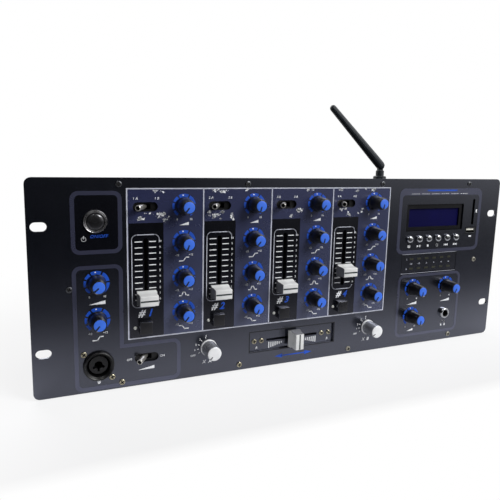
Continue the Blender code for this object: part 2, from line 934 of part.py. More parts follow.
def build_phones_jack():
    """The headphone jack: its nut on the panel, its bush and its square body."""
    profile = [
        (0, -phones_nut_height),
        (phones_nut_radius - phones_nut_edge, -phones_nut_height),
        (phones_nut_radius, -phones_nut_height + phones_nut_edge),
        (phones_nut_radius, -gap),
        (phones_bush_radius, -gap),
        (phones_bush_radius, phones_body_depth - phones_nut_edge),
        (0, phones_body_depth - phones_nut_edge),
    ]
    shape = bmesh.new()
    add_turned(shape, profile, jack_sides)
    mesh = new_mesh("phones_jack", shape)
    smooth(mesh)
    jack = add_piece("phones_jack", mesh, CHROME, phones_x, 0, phones_jack_z)

    body = bmesh.new()
    add_box(body, 0, 0, phones_body_size, phones_body_size, behind_panel, phones_body_depth)
    combine(jack, "UNION", body)
    bore = bmesh.new()
    add_rod(bore, 0, 0, phones_plug_radius, -phones_nut_height - overrun, phones_plug_depth, jack_sides)
    combine(jack, "DIFFERENCE", bore)


def build_player():
    """The player's board with its display, card socket, stick socket and key switches."""
    left = window_x - window_width / 2 - player_board_margin
    right = right_reach
    top = card_slot_z + card_slot_height / 2 + player_board_margin
    bottom = player_button_z - player_button_radius - player_board_margin
    front = player_board_depth
    back = player_board_depth + board_thickness
    sunk = player_board_depth + board_thickness / 2
    shape = bmesh.new()
    add_box(shape, (left + right) / 2, (top + bottom) / 2, right - left, top - bottom, front, back)
    player = add_piece("player_module", new_mesh("player_module", shape), DARK_PLASTIC)

    bodies = bmesh.new()
    add_box(
        bodies, window_x, window_z, window_width + 2 * lcd_border, window_height + 2 * lcd_border,
        lcd_depth, sunk,
    )
    add_box(
        bodies, card_slot_x, card_slot_z, card_slot_width + 2 * card_wall,
        card_slot_height + 2 * card_wall, behind_panel, card_depth,
    )
    add_box(
        bodies, stick_port_x, stick_port_z, stick_port_width + 2 * stick_wall,
        stick_port_height + 2 * stick_wall, 0, stick_depth,
    )
    switch_front = player_button_tail + player_button_travel + gap
    for x, z in player_places():
        add_box(bodies, x, z, player_switch_size, player_switch_size, switch_front, sunk)
    combine(player, "UNION", bodies)

    cavities = bmesh.new()
    add_box(
        cavities, card_slot_x, card_slot_z, card_slot_width, card_slot_height, 0,
        card_depth - card_wall,
    )
    add_box(
        cavities, stick_port_x, stick_port_z, stick_port_width, stick_port_height, -overrun,
        stick_cavity_depth,
    )
    combine(player, "DIFFERENCE", cavities)

    tongue = bmesh.new()
    tongue_z = stick_port_z + stick_port_height / 2 - stick_tongue_thickness
    add_box(
        tongue, stick_port_x, tongue_z, stick_tongue_width, stick_tongue_thickness,
        stick_tongue_set_back, stick_cavity_depth + overrun / 2,
    )
    combine(player, "UNION", tongue)


def build_display_pane():
    """The clear pane set into the panel in front of the display."""
    shape = bmesh.new()
    width = window_width - 2 * gap
    height = window_height - 2 * gap
    outline = rounded(window_x, window_z, width, height, window_corner - gap, small_corner_steps)
    add_prism(shape, outline, pane_inset, pane_inset + pane_thickness)
    add_piece("display_window", new_mesh("display_window", shape), BLACK_PLASTIC)


def socket_places():
    first = socket_block_x - socket_pitch_x * (socket_columns - 1) / 2
    return [
        (first + socket_pitch_x * i, socket_block_z + side * socket_pitch_z / 2)
        for i in range(socket_columns)
        for side in (-1, 1)
    ]


def build_rear_sockets():
    """The strip of pin sockets inside the rear wall, with sleeves that stand out through it."""
    back = chassis_depth - chassis_sheet - gap
    front = back - socket_block_thickness
    tip = chassis_depth + socket_sleeve_length
    width = socket_pitch_x * (socket_columns - 1) + 2 * socket_block_border
    height = socket_pitch_z + 2 * socket_block_border
    shape = bmesh.new()
    add_box(shape, socket_block_x, socket_block_z, width, height, front, back)
    block = add_piece("rear_socket_block", new_mesh("rear_socket_block", shape), DARK_PLASTIC)

    sleeves = bmesh.new()
    bores = bmesh.new()
    for x, z in socket_places():
        root = back - socket_block_thickness / 2
        add_rod(sleeves, x, z, socket_sleeve_radius, root, tip, socket_sides)
        add_rod(bores, x, z, socket_bore_radius, chassis_depth, tip + overrun, socket_bore_sides)
    combine(block, "UNION", sleeves)
    combine(block, "DIFFERENCE", bores)


def build_mains_inlet():
    """The mains inlet, with its flange outside the rear wall."""
    back = chassis_depth + gap + inlet_flange_thickness
    flange_front = chassis_depth + gap
    shape = bmesh.new()
    outline = rounded(
        inlet_x, inlet_z, inlet_flange_width, inlet_flange_height, inlet_corner, inlet_corner_steps
    )
    add_prism(shape, outline, flange_front, back)
    inlet = add_piece("mains_inlet", new_mesh("mains_inlet", shape), BLACK_PLASTIC)

    body = bmesh.new()
    outline = rounded(
        inlet_x, inlet_z, inlet_width, inlet_height, inlet_corner, inlet_corner_steps
    )
    add_prism(body, outline, chassis_depth - inlet_body_depth, back - inlet_flange_thickness / 2)
    combine(inlet, "UNION", body)

    recess = bmesh.new()
    outline = rounded(
        inlet_x, inlet_z, inlet_width - 2 * inlet_wall, inlet_height - 2 * inlet_wall,
        inlet_corner - inlet_wall, inlet_corner_steps,
    )
    add_prism(recess, outline, back - inlet_recess, back + overrun)
    combine(inlet, "DIFFERENCE", recess)


def build_power_supply():
    """The mains transformer and its capacitor on a small board with four legs."""
    floor = chassis_sheet - chassis_drop + gap
    board_bottom = floor + supply_leg_height
    board_top = board_bottom + board_thickness
    shape = bmesh.new()
    add_box(
        shape, supply_x, (board_bottom + board_top) / 2, supply_board_width, board_thickness,
        supply_depth - supply_board_length / 2, supply_depth + supply_board_length / 2,
    )
    supply = add_piece("power_supply", new_mesh("power_supply", shape), BOARD_GREEN)

    parts = bmesh.new()
    sunk = board_top - board_thickness / 2
    add_box(
        parts, supply_x - transformer_shift, (sunk + board_top + transformer_height) / 2,
        transformer_width, board_top + transformer_height - sunk,
        supply_depth - transformer_length / 2, supply_depth + transformer_length / 2,
    )
    made = bmesh.ops.create_cone(
        parts, cap_ends=True, segments=capacitor_sides, radius1=capacitor_radius,
        radius2=capacitor_radius, depth=capacitor_height,
    )["verts"]
    place_z = sunk + capacitor_height / 2
    bmesh.ops.translate(parts, vec=(supply_x + capacitor_shift, supply_depth, place_z), verts=made)
    leg_x = supply_board_width / 2 - supply_leg_inset
    leg_y = supply_board_length / 2 - supply_leg_inset
    leg_top = board_bottom + board_thickness / 2
    for side in (-1, 1):
        for end in (-1, 1):
            made = bmesh.ops.create_cone(
                parts, cap_ends=True, segments=hole_sides, radius1=supply_leg_radius,
                radius2=supply_leg_radius, depth=leg_top - floor,
            )["verts"]
            place_at = (supply_x + side * leg_x, supply_depth + end * leg_y, (leg_top + floor) / 2)
            bmesh.ops.translate(parts, vec=place_at, verts=made)
    combine(supply, "UNION", parts)


def turned_upright(name, profile, sides):
    """A profile of radius and height, turned about a vertical line."""
    shape = bmesh.new()
    add_turned(shape, [(radius, -height) for radius, height in profile], sides)
    bmesh.ops.transform(shape, matrix=Matrix.Rotation(-math.pi / 2, 4, "X"), verts=shape.verts)
    mesh = new_mesh(name, shape)
    smooth(mesh)
    return mesh


def build_antenna_base():
    """The threaded base on the lid."""
    base_bottom = cover_top + gap
    base_top = base_bottom + antenna_base_height
    profile = [
        (0, base_top),
        (antenna_base_radius - antenna_base_edge, base_top),
        (antenna_base_radius, base_top - antenna_base_edge),
        (antenna_base_radius, base_bottom),
        (antenna_bush_radius, base_bottom),
        (antenna_bush_radius, base_bottom - antenna_bush_length),
        (0, base_bottom - antenna_bush_length),
    ]
    mesh = turned_upright("antenna_base", profile, antenna_sides)
    add_piece("antenna_base", mesh, CHROME, antenna_x, antenna_depth, 0)


def build_antenna_collar():
    """The collar that turns on the base, with the tongue that the rod folds on."""
    profile = [
        (0, collar_top),
        (antenna_collar_radius - antenna_collar_edge, collar_top),
        (antenna_collar_radius, collar_top - antenna_collar_edge),
        (antenna_collar_radius, collar_bottom),
        (0, collar_bottom),
    ]
    mesh = turned_upright("antenna_collar", profile, antenna_sides)
    collar = add_piece("antenna_collar", mesh, SLATE_PLASTIC, antenna_x, antenna_depth, 0)

    tongue = bmesh.new()
    half_width = antenna_tongue_width / 2
    half_depth = antenna_tongue_thickness / 2
    root = collar_top - antenna_collar_height / 2
    outline = [(-half_width, root), (half_width, root)]
    for i in range(9):
        angle = math.pi / 8 * i
        outline.append((half_width * math.cos(angle), elbow_z + half_width * math.sin(angle)))
    add_prism(tongue, outline, -half_depth, half_depth)
    combine(collar, "UNION", tongue)
    eye = bmesh.new()
    reach = half_depth + overrun
    add_rod(eye, 0, elbow_z, antenna_pin_radius + gap, -reach, reach, antenna_pin_sides)
    combine(collar, "DIFFERENCE", eye)


def build_antenna_rod():
    """The tapered rod, forked over the collar's tongue, with its pivot pin."""
    radius = antenna_rod_radius
    tip = antenna_tip_radius
    profile = [(0, -radius)]
    for i in range(1, 3):
        angle = math.pi / 6 * i - math.pi / 2
        profile.append((radius * math.cos(angle), radius * math.sin(angle)))
    profile.append((radius, 0))
    profile.append((radius, 2 * radius))
    for i in range(3):
        angle = math.pi / 6 * i
        profile.append((tip * math.cos(angle), antenna_rod_length - tip + tip * math.sin(angle)))
    profile.append((0, antenna_rod_length))
    mesh = turned_upright("antenna_rod", profile, antenna_sides)
    rod = add_piece("antenna_rod", mesh, SLATE_PLASTIC, antenna_x, antenna_depth, elbow_z)
    rod.rotation_euler = (0, antenna_raise - math.pi / 2, 0)

    fork = bmesh.new()
    reach = antenna_tongue_width / 2 + antenna_slot_spare
    low = -radius - overrun
    half = antenna_tongue_thickness / 2 + gap
    add_box(fork, 0, (low + reach) / 2, 2 * (radius + overrun), reach - low, -half, half)
    combine(rod, "DIFFERENCE", fork)
    pin = bmesh.new()
    add_rod(pin, 0, 0, antenna_pin_radius, gap - radius, radius - gap, antenna_pin_sides)
    combine(rod, "UNION", pin)


def build_knobs():
    knob = knob_mesh()
    for name, (x, z) in knob_places().items():
        add_piece(name, knob, BLACK_PLASTIC, x, 0, z)
    assign = assign_knob_mesh()
    for name, (x, z) in assign_places().items():
        add_piece(name, assign, WHITE_PLASTIC, x, 0, z)


def build_faders():
    """The four channel faders, three at the bottom of their travel, and the crossfader."""
    for i, x in enumerate(strips):
        raised = fader_four_raise if i == strip_count - 1 else 0
        place_z = fader_rest_z + raised
        name = f"channel_fader_{i + 1}"
        fader = add_piece(name, fader_mesh(), WHITE_PLASTIC, x + strip_fader_offset, 0, place_z)
        combine(fader, "UNION", fader_stem())
    fader = add_piece("crossfader", fader_mesh(), WHITE_PLASTIC, crossfader_x, 0, crossfader_z)
    fader.rotation_euler = (0, math.pi / 2, 0)
    combine(fader, "UNION", fader_stem())


def build_toggles():
    lever = toggle_mesh()
    names = [f"input_toggle_{i + 1}" for i in range(strip_count)] + ["talkover_toggle"]
    for name, (x, z) in zip(names, toggle_places()):
        toggle = add_piece(name, lever, CHROME, x, toggle_pivot_depth, z)
        toggle.rotation_euler = (0, 0, -toggle_lean)


def build_buttons():
    button = button_mesh(
        "power_button", power_button_radius, power_button_rise, power_button_crown,
        power_button_tail, power_sides, 0,
    )
    add_piece("power_button", button, DARK_PLASTIC, left_column_x, 0, power_z)
    button = button_mesh(
        "player_button", player_button_radius, player_button_rise, player_button_crown,
        player_button_tail, player_button_sides, player_button_flange,
    )
    for i, (x, z) in enumerate(player_places()):
        add_piece(f"player_button_{i + 1}", button, CHROME, x, 0, z)
    for i, (x, z) in enumerate(cue_places()):
        key = add_piece(f"cue_button_{i + 1}", cue_mesh(), DARK_PLASTIC, x, 0, z)
        combine(key, "UNION", cue_flange_shape())
        combine(key, "UNION", cue_stem_shape())


clear_scene()
mixer = bpy.data.objects.new("mixer", None)
mixer.location = (0, panel_front_y, panel_middle_z)
bpy.context.scene.collection.objects.link(mixer)

build_front_panel()
build_chassis()
build_cover()
build_control_board()
build_crossfader_plate()
build_power_switch()
build_mic_jack()
build_phones_jack()
build_player()
build_display_pane()
build_rear_sockets()
build_mains_inlet()
build_power_supply()
build_antenna_base()
build_antenna_collar()
build_antenna_rod()
build_knobs()
build_faders()
build_toggles()
build_buttons()
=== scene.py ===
import math
import random

import bmesh
import bpy
from bpy.props import (
    FloatProperty, FloatVectorProperty, IntProperty, PointerProperty,
)
from mathutils import Matrix, Vector


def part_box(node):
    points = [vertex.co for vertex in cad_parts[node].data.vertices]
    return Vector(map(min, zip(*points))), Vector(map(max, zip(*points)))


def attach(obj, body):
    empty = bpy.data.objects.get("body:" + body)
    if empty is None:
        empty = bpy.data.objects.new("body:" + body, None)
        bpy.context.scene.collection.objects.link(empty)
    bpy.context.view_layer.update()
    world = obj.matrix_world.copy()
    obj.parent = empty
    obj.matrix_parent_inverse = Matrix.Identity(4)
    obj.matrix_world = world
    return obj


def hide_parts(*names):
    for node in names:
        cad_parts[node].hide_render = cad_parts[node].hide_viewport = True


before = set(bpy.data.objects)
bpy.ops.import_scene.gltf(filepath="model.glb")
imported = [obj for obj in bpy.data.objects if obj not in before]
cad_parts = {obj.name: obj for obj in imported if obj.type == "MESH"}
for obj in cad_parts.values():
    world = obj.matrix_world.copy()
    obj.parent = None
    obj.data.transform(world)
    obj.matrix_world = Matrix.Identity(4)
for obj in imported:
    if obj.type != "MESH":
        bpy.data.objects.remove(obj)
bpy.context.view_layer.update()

bl_info = {
    "name": "Rack mixer looks",
    "version": (1, 0, 0),
    "blender": (4, 5, 0),
    "location": "View3D > Sidebar > Mixer",
    "description": "Printing, knobs, caps, metalwork and finishes of a four-channel rack mixer",
    "category": "Object",
}

# The drawing frame: millimetres from the middle of the panel's front face, with x to the
# right, y backwards into the case and z up. "Out" is the height above the panel.
PANEL_LOW, PANEL_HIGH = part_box("front_panel")
DRAWING = Matrix.Translation((
    (PANEL_LOW[0] + PANEL_HIGH[0]) / 2, PANEL_LOW[1], (PANEL_LOW[2] + PANEL_HIGH[2]) / 2,
)) @ Matrix.Scale(0.001, 4)
UNDRAWING = DRAWING.inverted()


def box_of(node):
    """A CAD piece's lowest and highest corners in the drawing frame."""
    low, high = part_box(node)
    return UNDRAWING @ Vector(low), UNDRAWING @ Vector(high)


def middle_of(node):
    low, high = box_of(node)
    return (low + high) / 2


# Places of the controls, taken from the CAD pieces
STRIPS = (1, 2, 3, 4)
CHANNEL_KNOBS = [f"{row}_knob_{i}" for i in STRIPS for row in ("gain", "high", "mid", "low")]
OTHER_KNOBS = ["mic_level_knob", "mic_tone_knob", "master_knob", "phones_level_knob", "booth_knob"]
ASSIGN_KNOBS = ["assign_knob_a", "assign_knob_b"]
CHANNEL_FADERS = [f"channel_fader_{i}" for i in STRIPS]
INPUT_TOGGLES = [f"input_toggle_{i}" for i in STRIPS]
CUE_BUTTONS = [f"cue_button_{i}" for i in STRIPS]
PLAYER_BUTTONS = [f"player_button_{i}" for i in range(1, 7)]

# The way each pointer stands at rest, in degrees from the right, anticlockwise
POINTERS = {
    "gain_knob_1": 233, "high_knob_1": 250, "mid_knob_1": 237, "low_knob_1": 232,
    "gain_knob_2": 254, "high_knob_2": 228, "mid_knob_2": 246, "low_knob_2": 245,
    "gain_knob_3": 232, "high_knob_3": 259, "mid_knob_3": 231, "low_knob_3": 240,
    "gain_knob_4": 259, "high_knob_4": 228, "mid_knob_4": 265, "low_knob_4": 236,
    "mic_level_knob": 221, "mic_tone_knob": 230, "master_knob": 265,
    "phones_level_knob": 248, "booth_knob": 268, "assign_knob_a": 229, "assign_knob_b": 215,
}

# Layout in the drawing frame. A box is its left, bottom, right and top.
STRIP_LEFT = -166.2
STRIP_PITCH = 64.3
FADER_OFFSET = 14.8
COLUMN_LEFT, COLUMN_RIGHT, COLUMN_TOP = 0.9, 29.6, 51.5
BLOCK = (-166.3, -46.5, 92.6, 79.6)
BLOCK_BOTTOM, BLOCK_RIGHT, BLOCK_TOP = BLOCK[1:]
POWER_FIELD, POWER_OPENING = (-207.2, 30.2, -172.8, 75.4), 9.0
CROSSFADER_WINDOW, PLATE_FACE = (-56.1, -73.25, 34.7, -54.05), -2.28
TOGGLE_Z, TALKOVER_Z, PHONES_Z = 64.7, -64.3, -57.7
SCALE_STEPS, SCALE_TOP, SCALE_PITCH = 11, 36.0, 4.93
LAMP_COUNT, LAMP_LEFT, LAMP_PITCH, LAMP_ROWS = 6, 125.4, 10.1, (5.0, -5.2)
TOGGLE_LENGTH, TOGGLE_HEIGHT = 20.4, 7.6
FADER_SLOT_WIDTH, FADER_SLOT_TOP, FADER_SLOT_BOTTOM = 3.2, 38.5, -15.9
CUE_OPENING = 9.2
SHAFT_OPENING = 3.7
BOARD_DEPTH = 12.0
PRINT_GAP = 0.05
DOT_REACH, DOT_TURN = 9.0, 1.675
SMALLEST_SPECKLE = 0.3

# How near points are welded, as shapes are finished and while turned ones are made
WELD, TURNED_WELD = 0.0004, 0.0005

# Heights of the printed layers above the panel
PRINT_BOTTOM = 0.01
FIELD_TOP, COLUMN_PRINT_TOP, LINE_TOP, MARK_TOP = 0.04, 0.07, 0.1, 0.13


# Colours

def screen(code):
    """A colour written as six hexadecimal figures, as linear light."""
    parts = [int(code[i:i + 2], 16) / 255 for i in (0, 2, 4)]
    return tuple(p / 12.92 if p <= 0.04045 else ((p + 0.055) / 1.055) ** 2.4 for p in parts)


def colour(name, description, code):
    return FloatVectorProperty(
        name=name, description=description, subtype="COLOR", size=3, min=0, max=1,
        default=screen(code),
    )


def length(name, description, value):
    return FloatProperty(
        name=name, description=description, subtype="DISTANCE", unit="LENGTH", min=0,
        default=value,
    )


# Settings

class MixerPaintSettings(bpy.types.PropertyGroup):
    panel: colour("Panel", "Paint of the front panel", "05070d")
    case: colour("Case", "Powder coat of the tray and the cover", "161618")
    field_high: colour("Field, top", "Upper tone of the channel fields", "23284a")
    field_low: colour("Field, bottom", "Lower tone of the channel fields", "40455e")
    frames: colour("Frames", "Broad outlines round the groups of controls", "2f3144")
    columns: colour("Columns", "Black columns behind the faders", "04050a")
    lines: colour("Lines", "Thin lines round the channels", "b9bcc8")
    print_white: colour("White print", "Scales, figures and signs", "e4e6ea")
    print_blue: colour("Blue print", "Rings and blue figures", "0f49b4")
    speckle_seed: IntProperty(
        name="Speckle seed", description="Number that lays out the white speckles", default=7,
    )
    speckle_size: length("Speckle size", "Width of the largest speckles", 0.0026)


class MixerKnobSettings(bpy.types.PropertyGroup):
    shell: colour("Shell", "Gloss black of the knobs", "0a0a0e")
    cap: colour("Cap", "Blue caps on the knobs", "3f76ec")
    ribs: IntProperty(name="Ribs", description="Grip ribs round a knob", default=40, min=8, max=90)
    rib_depth: length("Rib depth", "Depth of the grooves between ribs", 0.00003)
    pointer_width: length("Pointer width", "Width of the line on a cap", 0.0012)
    assign_side: colour("Selector side", "Silver sides of the two selectors", "a2a4aa")
    assign_top: colour("Selector top", "White tops of the two selectors", "f2f3f4")


class MixerFaderSettings(bpy.types.PropertyGroup):
    cap: colour("Cap", "Plastic of the slider caps", "e6e7e6")
    # The ends' colour is painted shade: a cap's end faces are made darker than its front and top
    ends: colour("Ends", "Shaded ends of a cap", "6e6f73")
    line: colour("Line", "Line across a cap", "252e2f")
    line_width: length("Line width", "Height of the line across a cap", 0.0013)
    edge: length("Edge", "Rounding of a cap's edges", 0.00025)


class MixerMetalSettings(bpy.types.PropertyGroup):
    chrome: colour("Plating", "Bright plated pieces", "c9cbce")
    steel: colour("Steel", "Plain zinc-plated steel", "7c7e82")
    brass: colour("Yellow zinc", "Yellow-plated screw heads", "d0c8ac")
    lever: colour("Lever", "Satin nickel of the toggle levers", "dedbd4")
    ring: colour("Ring", "Dull nickel of the power switch's ring", "c6c5c6")
    key: colour("Key", "Dark plating of the power switch's key", "48484b")
    screw_radius: length("Screw radius", "Radius of the panel's screw heads", 0.0025)


class MixerPlasticSettings(bpy.types.PropertyGroup):
    jack: colour("Jack", "Black of the jacks and sockets", "070709")
    keys: colour("Keys", "Dark grey of the square keys", "1c1c1f")
    antenna: colour("Antenna", "Slate of the antenna", "161c23")
    board: colour("Board", "Solder mask of the circuit boards", "0d3a1e")
    display: colour("Display", "Unlit blue of the display", "06053e")
    lamp: colour("Lamps", "Unlit lenses of the level meter", "33342a")


class MixerStageSettings(bpy.types.PropertyGroup):
    floor: colour("Floor", "Colour of the floor", "e6e6ea")
    ambient: FloatProperty(
        name="Ambient", description="Strength of the light from all round", default=0.42, min=0,
    )
    key_power: FloatProperty(
        name="Key", description="Power of the soft light at the upper right", default=30,
        subtype="POWER", unit="POWER", min=0,
    )
    ceiling_power: FloatProperty(
        name="Ceiling", description="Power of the small light at the upper left", default=2.2,
        subtype="POWER", unit="POWER", min=0,
    )
    back_power: FloatProperty(
        name="Back", description="Power of the soft light behind", default=22,
        subtype="POWER", unit="POWER", min=0,
    )


class MixerSettings(bpy.types.PropertyGroup):
    paint: PointerProperty(type=MixerPaintSettings, name="Paint")
    knobs: PointerProperty(type=MixerKnobSettings, name="Knobs")
    faders: PointerProperty(type=MixerFaderSettings, name="Faders")
    metal: PointerProperty(type=MixerMetalSettings, name="Metal")
    plastic: PointerProperty(type=MixerPlasticSettings, name="Plastic")
    stage: PointerProperty(type=MixerStageSettings, name="Stage")


def settings():
    return bpy.context.scene.mixer_settings


# Shader node groups

def add_socket(group, name, way, kind, value=None):
    socket = group.interface.new_socket(name=name, in_out=way, socket_type=kind)
    if value is not None:
        socket.default_value = value


def object_place(tree):
    """A node that gives the place on the piece, in metres."""
    return tree.nodes.new("ShaderNodeTexCoord").outputs["Object"]


def feed(tree, socket, value):
    """Sets a socket to a plain value, or links it to another socket."""
    if isinstance(value, bpy.types.NodeSocket):
        tree.links.new(value, socket)
    else:
        socket.default_value = value


def noise(tree, place, scale, detail=3.0, roughness=0.5):
    node = tree.nodes.new("ShaderNodeTexNoise")
    node.inputs["Detail"].default_value = detail
    node.inputs["Roughness"].default_value = roughness
    tree.links.new(place, node.inputs["Vector"])
    feed(tree, node.inputs["Scale"], scale)
    return node.outputs["Fac"]


def calculate(tree, operation, *values):
    """A Math node on sockets or plain numbers."""
    node = tree.nodes.new("ShaderNodeMath")
    node.operation = operation
    for socket, value in zip(node.inputs, values):
        feed(tree, socket, value)
    return node.outputs[0]


def spread(tree, value, low, high, start=0.35, end=0.65):
    """A Map Range node that stretches a noise between two values."""
    node = tree.nodes.new("ShaderNodeMapRange")
    tree.links.new(value, node.inputs["Value"])
    for name, number in (
        ("From Min", start), ("From Max", end), ("To Min", low), ("To Max", high),
    ):
        feed(tree, node.inputs[name], number)
    return node.outputs["Result"]


def blend_colours(tree, factor, first, second):
    node = tree.nodes.new("ShaderNodeMix")
    node.data_type = "RGBA"
    tree.links.new(factor, node.inputs["Factor"])
    for socket, value in ((node.inputs[6], first), (node.inputs[7], second)):
        feed(tree, socket, (*value, 1) if isinstance(value, tuple) else value)
    return node.outputs[2]


def start_group(name, inputs, outputs):
    group = bpy.data.node_groups.new(name, "ShaderNodeTree")
    for socket in inputs:
        add_socket(group, socket[0], "INPUT", socket[1], socket[2])
    for socket in outputs:
        add_socket(group, socket[0], "OUTPUT", socket[1])
    given = group.nodes.new("NodeGroupInput").outputs
    wanted = group.nodes.new("NodeGroupOutput").inputs
    return group, given, wanted


SPECK_SCALE, SMEAR_SCALE = 2600.0, 60.0
DUST_TONE = (0.55, 0.55, 0.56)
GREY = (0.5, 0.5, 0.5, 1)
RING_STRETCH, RING_DEPTH = (1, 12, 1), 0.00003


def worn_tone_group():
    """Two tones in clouds, with fine dust and a roughness that follows them."""
    name = "Worn tone"
    if name in bpy.data.node_groups:
        return bpy.data.node_groups[name]
    group, given, wanted = start_group(
        name,
        [
            ("Colour", "NodeSocketColor", GREY),
            ("Other Colour", "NodeSocketColor", GREY),
            ("Dust", "NodeSocketFloat", 0.02),
            ("Cloud Scale", "NodeSocketFloat", 20.0),
            ("Roughness", "NodeSocketFloat", 0.4),
            ("Roughness Spread", "NodeSocketFloat", 0.1),
        ],
        [("Colour", "NodeSocketColor"), ("Roughness", "NodeSocketFloat")],
    )
    place = object_place(group)
    clouds = noise(group, place, given["Cloud Scale"], 5.0, 0.6)
    tone = blend_colours(
        group, spread(group, clouds, 0.0, 1.0), given["Colour"], given["Other Colour"],
    )
    specks = noise(group, place, SPECK_SCALE, 2.0)
    dust = calculate(group, "MULTIPLY", spread(group, specks, 0.0, 1.0, 0.6, 0.75), given["Dust"])
    dusted = blend_colours(group, dust, tone, DUST_TONE)
    group.links.new(dusted, wanted["Colour"])
    smears = noise(group, place, SMEAR_SCALE, 4.0, 0.65)
    shift = calculate(
        group, "MULTIPLY", spread(group, smears, -0.5, 0.5, 0.3, 0.7), given["Roughness Spread"],
    )
    group.links.new(calculate(group, "ADD", given["Roughness"], shift), wanted["Roughness"])
    return group


def fine_grain_group():
    """A fine moulded or painted grain, as a normal."""
    name = "Fine grain"
    if name in bpy.data.node_groups:
        return bpy.data.node_groups[name]
    group, given, wanted = start_group(
        name,
        [
            ("Scale", "NodeSocketFloat", 1500.0),
            ("Strength", "NodeSocketFloat", 0.2),
            ("Height", "NodeSocketFloat", 0.00005),
        ],
        [("Normal", "NodeSocketVector")],
    )
    place = object_place(group)
    grains = noise(group, place, given["Scale"], 3.0, 0.6)
    bump = group.nodes.new("ShaderNodeBump")
    group.links.new(given["Strength"], bump.inputs["Strength"])
    group.links.new(given["Height"], bump.inputs["Distance"])
    group.links.new(grains, bump.inputs["Height"])
    group.links.new(bump.outputs["Normal"], wanted["Normal"])
    return group


def turned_group():
    """Fine rings left by turning or moulding, round a line along y."""
    name = "Turned rings"
    if name in bpy.data.node_groups:
        return bpy.data.node_groups[name]
    group, given, wanted = start_group(
        name,
        [("Scale", "NodeSocketFloat", 900.0), ("Strength", "NodeSocketFloat", 0.1)],
        [("Normal", "NodeSocketVector")],
    )
    place = object_place(group)
    stretch = group.nodes.new("ShaderNodeMapping")
    stretch.inputs["Scale"].default_value = RING_STRETCH
    group.links.new(place, stretch.inputs["Vector"])
    rings = noise(group, stretch.outputs["Vector"], given["Scale"], 2.0)
    bump = group.nodes.new("ShaderNodeBump")
    bump.inputs["Distance"].default_value = RING_DEPTH
    group.links.new(given["Strength"], bump.inputs["Strength"])
    group.links.new(rings, bump.inputs["Height"])
    group.links.new(bump.outputs["Normal"], wanted["Normal"])
    return group


# Finishes, one for each kind of surface. A tone is six hexadecimal figures, or a setting written
# as group.name. The other tone is such a colour too, or a factor on the first one.

